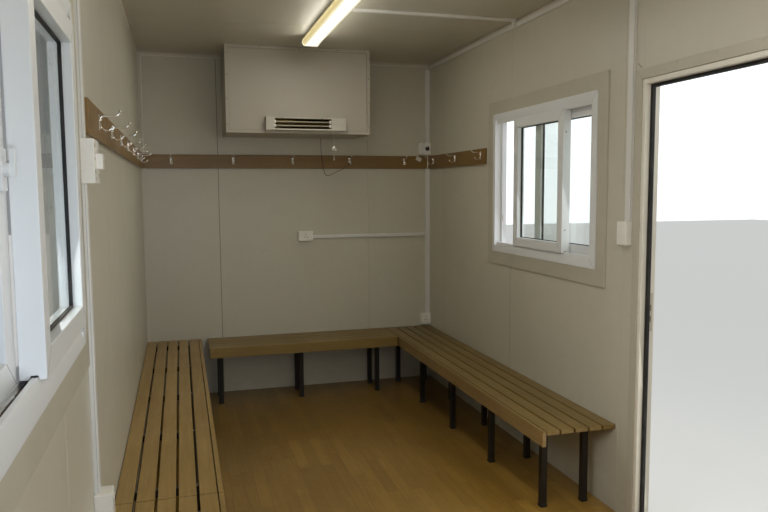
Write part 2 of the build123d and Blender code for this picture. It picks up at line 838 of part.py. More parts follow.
def service_cover():
    """The cover box high on the far wall, with a recessed front inside a raised edge."""
    x0 = -inner_x + cover_left
    x1 = x0 + cover_width
    y0 = inner_y - cover_depth
    low = floor + cover_bottom
    top = ceiling - fit
    body = block(x0, x1, y0, inner_y, low, top)
    body -= block(x0 + cover_edge, x1 - cover_edge, y0 - 1, y0 + cover_recess, low + cover_edge,
                  top - cover_edge)
    trim = trim_leg + 2 * fit
    body -= block(x0 - 1, x1 + 1, inner_y - trim, inner_y + 1, top - trim, top + 1)
    save("service_cover", body)


def heater():
    """Radiant heater: a trough housing with a curved reflector and two bars."""
    x0 = -inner_x + heater_left
    x1 = x0 + heater_width
    back = inner_y - cover_depth + cover_recess
    front = inner_y - cover_depth - heater_depth
    low = floor + heater_bottom
    high = low + heater_height
    seat = inner_y - cover_depth
    body = block(x0, x1, front, seat, low, high)
    body += block(x0 + heater_seat, x1 - heater_seat, seat - 1, back,
                  floor + cover_bottom + cover_edge + fit, high - heater_seat)
    z0 = low + (heater_height - heater_slot_height) / 2
    z1 = z0 + heater_slot_height
    s0 = x0 + heater_slot_left
    s1 = s0 + heater_slot_width
    gap = 2 * fit
    pocket_back = inner_y - cover_depth - gap
    body -= block(s0, s1, front - 1, pocket_back, z0, z1)
    save("heater_housing", body)
    mid = (z0 + z1) / 2
    half = heater_slot_height / 2 - gap
    depth = pocket_back - front - reflector_from_front
    steps = 8
    inner, outer = [], []
    for i in range(steps + 1):
        t = -1 + 2 * i / steps
        y = pocket_back - fit - depth * t * t
        inner.append((y - heater_wall / 2, mid + (half - gap) * t))
        outer.append((y, mid + half * t))
    save("heater_reflector", prism_x(outer + inner[::-1], s0 + gap, s1 - gap))
    tubes = []
    tube_y = front + heater_tube_from_front
    for i in range(heater_tube_count):
        z = mid + (i - (heater_tube_count - 1) / 2) * heater_tube_pitch
        tubes.append(rod((s0, tube_y, z), (s1, tube_y, z), heater_tube))
    save("heater_bars", *tubes)
    x = -inner_x + pull_cord_x
    y = front + pull_cord_from_front
    end = low - pull_cord_length
    bell_high = low - bell_drop
    bell_low = bell_high - bell_height
    save("pull_cord", rod((x, y, bell_high), (x, y, low), pull_cord_radius),
         rod((x, y, end + toggle_height), (x, y, bell_low), pull_cord_radius))
    bell = tapered((x, y, bell_low), bell_radius, bell_radius / 4, bell_height, knob_sides)
    toggle = tapered((x, y, end), toggle_radius, toggle_radius / 2, toggle_height, knob_sides)
    save("pull_cord_bell", bell, toggle)


def hanging_cord():
    """A thin lead from under the service cover, in front of the rail, to the fourth hook."""
    y = inner_y - rail_thickness - 12
    top = floor + cover_bottom
    route = [(221, y, top), (221, y, top - 68), (226, y, top - 146), (240, y, top - 222), (244, y, top - 268),
             (262, y, top - 300), (300, y, top - 292), (345, y, top - 268), (395, y, top - 244),
             (438, y, top - 226), (453.5, y, top - 200)]
    radii = []
    for i in range(1, len(route) - 1):
        a, b, c = (Vector(*route[k]) for k in (i - 1, i, i + 1))
        turn = math.radians((b - a).get_angle(c - b))
        radii.append(0.45 * min((b - a).length, (c - b).length) / math.tan(turn / 2))
    print("hanging cord radii", [round(r) for r in radii])
    path = FilletPolyline(*route, radius=radii)
    section = Plane(origin=route[0], z_dir=path % 0) * RegularPolygon(cord_radius, 8)
    save("hanging_cord", sweep(section, path=path))


def wall_box(side, depth, y0, width, z0, height):
    """A box on a side wall: side is 1 on the right and minus 1 on the left."""
    return block(side * inner_x, side * (inner_x - depth), y0, y0 + width, z0, z0 + height)


def end_box(x1, width, depth, z0, height):
    """A box on the far end wall, up to x1 on its right."""
    seat = inner_y - trim_sheet if x1 > inner_x - trim_leg else inner_y
    return block(x1 - width, x1, seat - depth, seat, z0, z0 + height)


right_trunk_near = architrave_far + door_trunk_gap
left_trunk_near = left_window_far + architrave_width + left_trunk_gap
corner_right = inner_x - trim_sheet
isolator_low = rail_high + isolator_lift


def trunking():
    """Cable trunking on the walls and the ceiling."""
    t, small, large = trunk_thickness, trunk_small, trunk_large
    under_trim = ceiling - trim_leg
    run_low = under_trim - small
    switch_top = floor + switch_bottom + switch_height
    right = wall_box(1, t, right_trunk_near, large, switch_top, run_low - switch_top)
    reach = inner_y - trim_leg - fit
    right += wall_box(1, t, -reach, 2 * reach, run_low, small)
    cross_y = inner_y - cross_trunk_from_end
    edge = inner_x - trim_leg
    right += block(light_body_width / 2, edge, cross_y, cross_y + small, ceiling - t, ceiling)
    right += block(edge - t, edge, cross_y, cross_y + small, run_low, ceiling)
    right += block(edge - t, inner_x - t, cross_y, cross_y + small, run_low, under_trim)
    corner_low = isolator_low + isolator_size
    corner = end_box(corner_right, large, t, corner_low, run_low - corner_low)
    socket_top = floor + low_socket_bottom + low_socket_height
    low_corner = end_box(corner_right, large, t, socket_top, rail_low - socket_top)
    run_start = -inner_x + end_socket_left + end_socket_width
    run_bottom = floor + end_socket_bottom + low_run_lift
    low_run = block(run_start, corner_right - large, inner_y - t, inner_y, run_bottom, run_bottom + small)
    box_low = floor + left_box_bottom
    box_high = box_low + left_box_height
    left_low = wall_box(-1, t, left_trunk_near, large, floor + left_socket_top,
                        box_low - floor - left_socket_top)
    left_high = wall_box(-1, t, left_trunk_near, large, box_high, under_trim - box_high)
    save("cable_trunking", right, corner, low_corner + low_run, left_low, left_high)


def boxes():
    """Switch and socket boxes, and the isolator with its knob."""
    switch = wall_box(1, switch_depth, right_trunk_near, switch_width, floor + switch_bottom, switch_height)
    box_low = floor + left_box_bottom
    left_switch = wall_box(-1, left_box_depth, left_trunk_near, left_box_width, box_low, left_box_height)
    rocker_y = left_trunk_near + (left_box_width - rocker_width) / 2
    rocker_z = box_low + (left_box_height - rocker_height) / 2
    left_switch += wall_box(-1, left_box_depth + rocker_depth, rocker_y, rocker_width, rocker_z,
                            rocker_height)
    socket_y = left_trunk_near + (trunk_large - switch_width) / 2
    left_socket = wall_box(-1, left_socket_depth, socket_y, switch_width,
                           floor + left_socket_top - left_socket_height, left_socket_height)
    end_socket = end_box(-inner_x + end_socket_left + end_socket_width, end_socket_width, end_socket_depth,
                         floor + end_socket_bottom, end_socket_height)
    low_socket = end_box(corner_right, low_socket_width, low_socket_depth, floor + low_socket_bottom,
                         low_socket_height)
    save("switch_and_socket_boxes", switch, left_switch, left_socket, end_socket, low_socket)
    save("isolator_box", end_box(corner_right, isolator_size, isolator_depth, isolator_low, isolator_size))
    face = inner_y - trim_sheet - isolator_depth
    centre = (corner_right - knob_from_right, face, isolator_low + isolator_size / 2)
    knob = Plane(origin=centre, z_dir=(0, -1, 0)) * RegularPolygon(knob_radius, knob_sides)
    save("isolator_knob", extrude(knob, amount=knob_depth))


os.makedirs("parts", exist_ok=True)
chassis()
walls()
roofing()
trims()
windows()
doorway()
hinges()
door()
benches()
hook_rails()
lights()
service_cover()
heater()
hanging_cord()
trunking()
boxes()
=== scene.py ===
"""Looks for a portable site cabin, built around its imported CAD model."""

import json
import math
import random

import bmesh
import bpy
from mathutils import Matrix, Vector


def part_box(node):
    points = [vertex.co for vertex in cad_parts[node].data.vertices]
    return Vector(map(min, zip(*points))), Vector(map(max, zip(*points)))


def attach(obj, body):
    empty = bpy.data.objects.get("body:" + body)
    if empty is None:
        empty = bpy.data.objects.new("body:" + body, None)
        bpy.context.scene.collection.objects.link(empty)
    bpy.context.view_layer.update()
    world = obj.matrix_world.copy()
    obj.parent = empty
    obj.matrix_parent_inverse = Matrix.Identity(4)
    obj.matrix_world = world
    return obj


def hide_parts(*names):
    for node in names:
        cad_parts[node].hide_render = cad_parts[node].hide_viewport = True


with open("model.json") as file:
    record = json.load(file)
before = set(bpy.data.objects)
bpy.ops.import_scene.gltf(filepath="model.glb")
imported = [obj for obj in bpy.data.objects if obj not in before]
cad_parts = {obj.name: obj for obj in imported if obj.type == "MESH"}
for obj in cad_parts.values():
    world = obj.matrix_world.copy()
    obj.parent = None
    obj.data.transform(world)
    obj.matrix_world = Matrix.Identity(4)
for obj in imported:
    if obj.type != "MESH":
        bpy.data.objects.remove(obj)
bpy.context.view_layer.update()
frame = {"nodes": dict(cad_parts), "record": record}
bodies = frame["record"]["behaviour"]["bodies"]
body_of_node = {node: body for body, nodes in bodies.items() for node in nodes}
slot_of_node = {part["node"]: part["material_slot"] for part in frame["record"]["subparts"]}

# The room's inner faces, its outside faces and heights, all in metres as in the CAD frame.
left_wall_low, left_wall_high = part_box("left_wall")
INNER_X, INNER_Y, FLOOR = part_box("floor_vinyl")[1]
OUTER_X, OUTER_Y, CEILING = -left_wall_low.x, left_wall_high.y, left_wall_high.z
RAIL_LOW, RAIL_HIGH = (corner.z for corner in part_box("hook_rails"))
RIGHT_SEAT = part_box("right_bench_boards")[1].z
MERGE = 0.00002


# Camera

# The angles are in degrees, and the photo's width and focal length in its pixels.
EYE = (-0.878, -2.755, 1.767)
YAW, PITCH, ROLL = 15.92, -5.29, 0.37
PHOTO_WIDTH, FOCAL_LENGTH = 768, 712.5


def place_camera():
    """The photograph's viewpoint, at eye height in the near end of the room."""
    yaw, pitch, roll = (math.radians(angle) for angle in (YAW, PITCH, ROLL))
    ahead = Vector((math.sin(yaw) * math.cos(pitch), math.cos(yaw) * math.cos(pitch), math.sin(pitch)))
    level = Vector((math.cos(yaw), -math.sin(yaw), 0))
    up = level.cross(ahead)
    right = level * math.cos(roll) - up * math.sin(roll)
    up = right.cross(ahead)
    lens = bpy.data.cameras.new("photo_camera")
    lens.lens = FOCAL_LENGTH / PHOTO_WIDTH * lens.sensor_width
    lens.clip_start = 0.02
    camera = bpy.data.objects.new("photo_camera", lens)
    bpy.context.collection.objects.link(camera)
    turn = Matrix((right, up, -ahead)).transposed().to_4x4()
    camera.matrix_world = Matrix.Translation(EYE) @ turn
    bpy.context.scene.camera = camera


# Shader helpers

def fill(tree, socket, value):
    """Links a socket to another one, or sets it. A colour is given as three numbers."""
    if isinstance(value, bpy.types.NodeSocket):
        tree.links.new(value, socket)
    elif socket.type == "RGBA":
        socket.default_value = (*value, 1.0)
    else:
        socket.default_value = value


def add_node(tree, kind, inputs=None, **settings):
    """Adds a shader node with its settings and inputs."""
    node = tree.nodes.new("ShaderNode" + kind)
    for name, value in settings.items():
        setattr(node, name, value)
    for name, value in (inputs or {}).items():
        fill(tree, node.inputs[name], value)
    return node


def new_group(name, inputs, outputs):
    """An empty shader group with its named sockets. Returns the tree, its inputs and its outputs."""
    tree = bpy.data.node_groups.new(name, "ShaderNodeTree")
    for label, value in inputs.items():
        kind = "NodeSocketFloat"
        if isinstance(value, tuple):
            kind = "NodeSocketColor" if len(value) == 4 else "NodeSocketVector"
        socket = tree.interface.new_socket(label, in_out="INPUT", socket_type=kind)
        socket.default_value = value
    for label in outputs:
        kind = "NodeSocketColor" if label == "Color" else "NodeSocketFloat"
        tree.interface.new_socket(label, in_out="OUTPUT", socket_type=kind)
    return tree, tree.nodes.new("NodeGroupInput").outputs, tree.nodes.new("NodeGroupOutput").inputs


def maths(tree, operation, a, b=0.0, clamp=False):
    return add_node(tree, "Math", {0: a, 1: b}, operation=operation, use_clamp=clamp).outputs[0]


def times(tree, first, *others):
    """The product of masks."""
    for other in others:
        first = maths(tree, "MULTIPLY", first, other, clamp=True)
    return first


def vector_maths(tree, operation, a, b):
    return add_node(tree, "VectorMath", {0: a, 1: b}, operation=operation).outputs


def stretch(tree, value, low, high, to_low=0.0, to_high=1.0):
    """Maps a range of values on to another, clamped at its ends."""
    given = {"Value": value, "From Min": low, "From Max": high, "To Min": to_low, "To Max": to_high}
    return add_node(tree, "MapRange", given).outputs["Result"]


def mixed(tree, factor, a, b):
    """One colour mixed with another."""
    return add_node(tree, "Mix", {0: factor, 6: a, 7: b}, data_type="RGBA", clamp_factor=True).outputs[2]


def object_place(tree):
    return add_node(tree, "TexCoord").outputs["Object"]


def place_of(tree, scale=(1, 1, 1)):
    """Object coordinates, scaled by a Mapping node."""
    return add_node(tree, "Mapping", {"Vector": object_place(tree), "Scale": scale}).outputs[0]


def sides_of(tree, vector):
    return add_node(tree, "SeparateXYZ", {0: vector}).outputs


def surface_normal(tree):
    return add_node(tree, "NewGeometry").outputs["Normal"]


def noise(tree, place, scale, detail=3.0, roughness=0.5, distortion=0.0):
    given = {"Vector": place, "Scale": scale, "Detail": detail, "Roughness": roughness,
             "Distortion": distortion}
    return add_node(tree, "TexNoise", given).outputs["Fac"]


# Shared effects

def make_uneven():
    """Soft patches of another colour, and a roughness that wanders with them."""
    tree, given, out = new_group("uneven_finish", {
        "Color": (0.5, 0.5, 0.5, 1), "Stain": (0.3, 0.3, 0.3, 1), "Scale": 3.0, "Amount": 0.3,
        "Roughness": 0.5, "Spread": 0.1}, ["Color", "Roughness", "Height"])
    place = place_of(tree)
    broad = noise(tree, place, given["Scale"], 5, 0.6)
    fine = noise(tree, place, maths(tree, "MULTIPLY", given["Scale"], 17.0), 3, 0.6)
    patch = stretch(tree, broad, 0.42, 0.72)
    speck = stretch(tree, fine, 0.5, 0.8, 0, 0.5)
    mask = times(tree, maths(tree, "ADD", patch, speck), given["Amount"])
    fill(tree, out["Color"], mixed(tree, mask, given["Color"], given["Stain"]))
    wander = maths(tree, "MULTIPLY", maths(tree, "SUBTRACT", broad, 0.5), given["Spread"])
    fill(tree, out["Roughness"], maths(tree, "ADD", given["Roughness"], wander, clamp=True))
    fill(tree, out["Height"], fine)
    return tree


def lay_over(tree, given, out, covering, *masks):
    """Lays another colour over the given one, where all the masks are high."""
    mask = times(tree, *masks, given["Amount"])
    fill(tree, out["Color"], mixed(tree, mask, given["Color"], given[covering]))
    fill(tree, out["Mask"], mask)
    return tree


def make_edge_wear():
    """Paint or plastic rubbed along its edges."""
    tree, given, out = new_group("edge_wear", {
        "Color": (0.5, 0.5, 0.5, 1), "Worn": (0.7, 0.7, 0.7, 1), "Radius": 0.003, "Amount": 0.5},
        ["Color", "Mask"])
    rounded = add_node(tree, "Bevel", {"Radius": given["Radius"]}, samples=4).outputs[0]
    facing = vector_maths(tree, "DOT_PRODUCT", rounded, surface_normal(tree))["Value"]
    edge = stretch(tree, facing, 0.99, 0.86)
    broken = stretch(tree, noise(tree, place_of(tree), 38.0, 4, 0.7), 0.42, 0.62)
    return lay_over(tree, given, out, "Worn", edge, broken)


def make_dust():
    """Dust that settles on what faces up, thicker in soft patches."""
    tree, given, out = new_group("settled_dust", {
        "Color": (0.5, 0.5, 0.5, 1), "Dust": (0.45, 0.40, 0.32, 1), "Scale": 9.0, "Amount": 0.3},
        ["Color", "Mask"])
    up = stretch(tree, sides_of(tree, surface_normal(tree))["Z"], 0.55, 0.95)
    patch = stretch(tree, noise(tree, place_of(tree), given["Scale"], 5, 0.65), 0.3, 0.7)
    return lay_over(tree, given, out, "Dust", up, patch)


def make_scuffs():
    """Short rubbed lines and scratches, stretched along one direction."""
    tree, given, out = new_group("scuffs", {
        "Color": (0.5, 0.5, 0.5, 1), "Mark": (0.2, 0.2, 0.2, 1), "Stretch": (8.0, 1.0, 8.0), "Amount": 0.3},
        ["Color", "Mask"])
    place = object_place(tree)
    drawn = vector_maths(tree, "MULTIPLY", place, given["Stretch"])["Vector"]
    line = stretch(tree, noise(tree, drawn, 5.0, 6, 0.7, 0.6), 0.62, 0.72)
    where = stretch(tree, noise(tree, place, 2.3, 3, 0.5), 0.45, 0.65)
    return lay_over(tree, given, out, "Mark", line, where)


def make_grain():
    """Timber grain drawn along one direction, with a tone that changes from board to board."""
    tree, given, out = new_group("timber_grain", {
        "Light": (0.5, 0.35, 0.2, 1), "Dark": (0.25, 0.15, 0.08, 1), "Stretch": (30.0, 1.5, 30.0),
        "Board": (0.0, 0.0, 0.0), "Contrast": 0.6}, ["Color", "Height"])
    shift = add_node(tree, "TexWhiteNoise", {"Vector": given["Board"]}, noise_dimensions="3D").outputs
    apart = vector_maths(tree, "MULTIPLY", shift["Color"], (9.0, 9.0, 9.0))["Vector"]
    moved = vector_maths(tree, "ADD", object_place(tree), apart)["Vector"]
    drawn = vector_maths(tree, "MULTIPLY", moved, given["Stretch"])["Vector"]
    bands = noise(tree, drawn, 0.9, 3, 0.55, 1.4)
    fibres = noise(tree, drawn, 7.0, 5, 0.7, 0.3)
    both = maths(tree, "ADD", maths(tree, "MULTIPLY", bands, 0.62), maths(tree, "MULTIPLY", fibres, 0.38))
    factor = maths(tree, "MULTIPLY", stretch(tree, both, 0.36, 0.66), given["Contrast"])
    tone = stretch(tree, shift["Value"], 0.0, 1.0, -0.16, 0.2)
    factor = maths(tree, "ADD", factor, tone, clamp=True)
    fill(tree, out["Color"], mixed(tree, factor, given["Light"], given["Dark"]))
    fill(tree, out["Height"], fibres)
    return tree


effects = {"uneven": make_uneven(), "edge_wear": make_edge_wear(), "dust": make_dust(),
           "scuffs": make_scuffs(), "grain": make_grain()}


def use(tree, effect, **inputs):
    """Places a shared effect in a material with its own values."""
    node = tree.nodes.new("ShaderNodeGroup")
    node.node_tree = effects[effect]
    for name, value in inputs.items():
        fill(tree, node.inputs[name], value)
    return node.outputs


def new_finish(name, metallic=0.0, roughness=0.5, coat=0.0, specular=0.5, transmission=0.0):
    """A material with its Principled shader. Values that are the same all over are set on the shader."""
    material = bpy.data.materials.new(name)
    material.use_nodes = True
    tree = material.node_tree
    shader = tree.nodes["Principled BSDF"].inputs
    for label, value in (("Metallic", metallic), ("Roughness", roughness), ("Coat Weight", coat),
                         ("Coat Roughness", 0.25), ("Specular IOR Level", specular),
                         ("Transmission Weight", transmission), ("IOR", 1.5)):
        shader[label].default_value = value
    return material, tree, shader


def cover_with(tree, shader, color, roughness, height=None, strength=0.0, distance=0.001):
    """Gives a shader its colour, its roughness and, with a height, fine bumps."""
    fill(tree, shader["Base Color"], color)
    fill(tree, shader["Roughness"], roughness)
    if height is not None:
        bump = add_node(tree, "Bump", {"Strength": strength, "Distance": distance, "Height": height})
        fill(tree, shader["Normal"], bump.outputs[0])


# Finishes

def panel_paint(name, inside, outside):
    """Coated panel skin: one colour in the room and another on the weather side."""
    material, tree, shader = new_finish(name, specular=0.4)
    x, y, z = sides_of(tree, place_of(tree))
    past_x = maths(tree, "GREATER_THAN", maths(tree, "ABSOLUTE", x), (INNER_X + OUTER_X) / 2)
    past_y = maths(tree, "GREATER_THAN", maths(tree, "ABSOLUTE", y), (INNER_Y + OUTER_Y) / 2)
    past_z = maths(tree, "GREATER_THAN", z, CEILING + 0.03)
    weather = maths(tree, "MAXIMUM", maths(tree, "MAXIMUM", past_x, past_y), past_z)
    skin = mixed(tree, weather, inside, outside)
    soft = use(tree, "uneven", Color=skin, Stain=(0.42, 0.38, 0.30), Scale=0.9, Amount=0.22, Roughness=0.36,
               Spread=0.2)
    scuffed = use(tree, "scuffs", Color=soft["Color"], Mark=(0.30, 0.27, 0.22), Stretch=(3.0, 3.0, 11.0),
                  Amount=0.22)
    low = stretch(tree, z, 0.75, 0.17, 0.0, 0.35)
    patches = stretch(tree, noise(tree, place_of(tree, (1, 1, 2)), 4.0, 5, 0.65), 0.3, 0.75)
    color = mixed(tree, times(tree, low, patches), scuffed["Color"], (0.30, 0.25, 0.18))
    fine = noise(tree, place_of(tree), 260.0, 2, 0.5)
    cover_with(tree, shader, color, soft["Roughness"], fine, 0.06)
    return material


def painted(name, color, stain, worn, roughness=0.45, dust=0.15, wear=0.5, coat=0.0, stained=0.3):
    """Paint or plastic with soft stains, rubbed edges and a little dust."""
    material, tree, shader = new_finish(name, coat=coat)
    soft = use(tree, "uneven", Color=color, Stain=stain, Scale=3.5, Amount=stained, Roughness=roughness,
               Spread=0.12)
    rubbed = use(tree, "edge_wear", Color=soft["Color"], Worn=worn, Radius=0.003, Amount=wear)
    dusty = use(tree, "dust", Color=rubbed["Color"], Amount=dust)
    cover_with(tree, shader, dusty["Color"], soft["Roughness"], soft["Height"], 0.05)
    return material


def bench_timber(name, light, dark, way, pitch, start, contrast=0.6, roughness=0.42):
    """Oiled boards. The grain runs along X or Y, and each board has its own tone. Narrow gaps are darkened
    with painted shade.
    """
    material, tree, shader = new_finish(name, coat=0.08)
    across = "X" if way == "Y" else "Y"
    sides = sides_of(tree, place_of(tree))
    step = maths(tree, "FLOOR", maths(tree, "DIVIDE", maths(tree, "SUBTRACT", sides[across], start), pitch))
    board = add_node(tree, "CombineXYZ", {"X": step}).outputs[0]
    drawn = (34.0, 1.6, 34.0) if way == "Y" else (1.6, 34.0, 34.0)
    grain = use(tree, "grain", Light=light, Dark=dark, Stretch=drawn, Board=board, Contrast=contrast)
    soft = use(tree, "uneven", Color=grain["Color"], Stain=dark, Scale=2.6, Amount=0.25, Roughness=roughness,
               Spread=0.3)
    marks = (14.0, 1.0, 14.0) if way == "Y" else (1.0, 14.0, 14.0)
    scuffed = use(tree, "scuffs", Color=soft["Color"], Mark=light, Stretch=marks, Amount=0.35)
    rubbed = use(tree, "edge_wear", Color=scuffed["Color"], Worn=light, Radius=0.003, Amount=0.3)
    # Painted shade: the colour turns near black where ambient occlusion finds a narrow gap between boards.
    gap_occlusion = add_node(tree, "AmbientOcclusion", {"Distance": 0.012}, samples=6).outputs["AO"]
    painted_gap_shade = stretch(tree, gap_occlusion, 0.35, 0.8, 0.85, 0.0)
    color = mixed(tree, painted_gap_shade, rubbed["Color"], (0.012, 0.009, 0.006))
    cover_with(tree, shader, color, soft["Roughness"], grain["Height"], 0.18, 0.0015)
    return material


def vinyl_planks():
    """Timber look sheet floor: narrow strips along the room with staggered ends, worn and scuffed, and
    painted shade towards the far end.
    """
    material, tree, shader = new_finish("vinyl_planks", coat=0.22)
    x, y = sides_of(tree, place_of(tree))[:2]
    turned = add_node(tree, "CombineXYZ", {"X": y, "Y": x}).outputs[0]
    strips = add_node(tree, "TexBrick", {
        "Vector": turned, "Scale": 1.0, "Mortar Size": 0.0008, "Mortar Smooth": 0.2, "Bias": 0.0,
        "Brick Width": 0.46, "Row Height": 0.066, "Color1": (0, 0, 0), "Color2": (1, 1, 1),
        "Mortar": (0.5, 0.5, 0.5)}, offset=0.37, offset_frequency=2, squash=1.35, squash_frequency=3).outputs
    grain = use(tree, "grain", Light=(0.50, 0.285, 0.056), Dark=(0.24, 0.12, 0.018),
                Stretch=(26.0, 1.3, 26.0), Board=strips["Color"], Contrast=0.6)
    joint = mixed(tree, maths(tree, "MULTIPLY", strips["Fac"], 0.8), grain["Color"], (0.08, 0.04, 0.012))
    toned = mixed(tree, stretch(tree, strips["Color"], 0.0, 1.0, 0.0, 0.5), joint, (0.19, 0.10, 0.014))
    soft = use(tree, "uneven", Color=toned, Stain=(0.19, 0.105, 0.020), Scale=1.7, Amount=0.45,
               Roughness=0.35, Spread=0.16)
    pale = use(tree, "scuffs", Color=soft["Color"], Mark=(0.42, 0.30, 0.11), Stretch=(5.0, 2.2, 5.0),
               Amount=0.3)
    dark = use(tree, "scuffs", Color=pale["Color"], Mark=(0.07, 0.045, 0.025), Stretch=(1.7, 6.0, 4.0),
               Amount=0.45)
    dusty = use(tree, "dust", Color=dark["Color"], Dust=(0.38, 0.27, 0.10), Scale=2.2, Amount=0.15)
    # Painted shade: the floor darkens towards the far end, where the end bench shades it.
    color = mixed(tree, stretch(tree, y, 0.2, 2.4, 0.0, 0.5), dusty["Color"], (0.10, 0.058, 0.014))
    rough = maths(tree, "ADD", soft["Roughness"], maths(tree, "MULTIPLY", dusty["Mask"], 0.5), clamp=True)
    relief = maths(tree, "SUBTRACT", grain["Height"], strips["Fac"])
    cover_with(tree, shader, color, rough, relief, 0.12)
    return material


def bare_metal(name, color, roughness, stain, drawn=(4.0, 4.0, 40.0)):
    """Steel or aluminium with brushed lines and dull patches."""
    material, tree, shader = new_finish(name, metallic=1.0)
    soft = use(tree, "uneven", Color=color, Stain=stain, Scale=6.0, Amount=0.35, Roughness=roughness,
               Spread=0.25)
    lines = use(tree, "scuffs", Color=soft["Color"], Mark=(0.9, 0.9, 0.9), Stretch=drawn, Amount=0.25)
    cover_with(tree, shader, lines["Color"], soft["Roughness"], soft["Height"], 0.04, 0.0005)
    return material


def pane_glass():
    """Window glass with a film of dust and dried drops. Soft light and shadow rays pass it."""
    material, tree, shader = new_finish("pane_glass", transmission=1.0)
    film = stretch(tree, noise(tree, place_of(tree, (1, 1, 0.45)), 6.0, 5, 0.6), 0.4, 0.8, 0.0, 0.12)
    drops = stretch(tree, noise(tree, place_of(tree), 70.0, 2, 0.5), 0.66, 0.72, 0.02, 0.2)
    cover_with(tree, shader, mixed(tree, film, (0.93, 0.97, 0.95), (0.78, 0.80, 0.76)), drops)
    ray = add_node(tree, "LightPath").outputs
    passing = maths(tree, "MAXIMUM", ray["Is Shadow Ray"], ray["Is Diffuse Ray"])
    clear = add_node(tree, "BsdfTransparent", {"Color": (0.88, 0.92, 0.90)}).outputs[0]
    glass = tree.nodes["Principled BSDF"].outputs[0]
    both = add_node(tree, "MixShader", {0: passing, 1: glass, 2: clear}).outputs[0]
    fill(tree, tree.nodes["Material Output"].inputs["Surface"], both)
    return material


def lit_diffuser():
    """Opal cover of a lit batten, yellow at its sides. It lights the room more than it dazzles the camera."""
    material, tree, shader = new_finish("lit_diffuser", roughness=0.35)
    soft = use(tree, "uneven", Color=(1.0, 0.97, 0.88), Stain=(0.95, 0.86, 0.62), Scale=4.0, Amount=0.15)
    fill(tree, shader["Base Color"], soft["Color"])
    side = stretch(tree, maths(tree, "ABSOLUTE", sides_of(tree, place_of(tree))["X"]), 0.028, 0.052)
    glow = mixed(tree, side, (1.0, 0.97, 0.86), (0.46, 0.38, 0.15))
    seen = add_node(tree, "LightPath").outputs["Is Camera Ray"]
    fill(tree, shader["Emission Color"], mixed(tree, seen, soft["Color"], glow))
    up = stretch(tree, sides_of(tree, surface_normal(tree))["Z"], -0.3, 0.4, LIT, 0.08 * LIT)
    strength = add_node(tree, "Mix", {0: seen, 2: up, 3: SEEN_GLOW}).outputs[0]
    fill(tree, shader["Emission Strength"], strength)
    return material


def black_rubber():
    material, tree, shader = new_finish("black_rubber", specular=0.35)
    soft = use(tree, "uneven", Color=(0.012, 0.012, 0.012), Stain=(0.06, 0.055, 0.05), Scale=12.0, Amount=0.5,
               Roughness=0.55, Spread=0.3)
    dusty = use(tree, "dust", Color=soft["Color"], Amount=0.35)
    cover_with(tree, shader, dusty["Color"], soft["Roughness"])
    return material


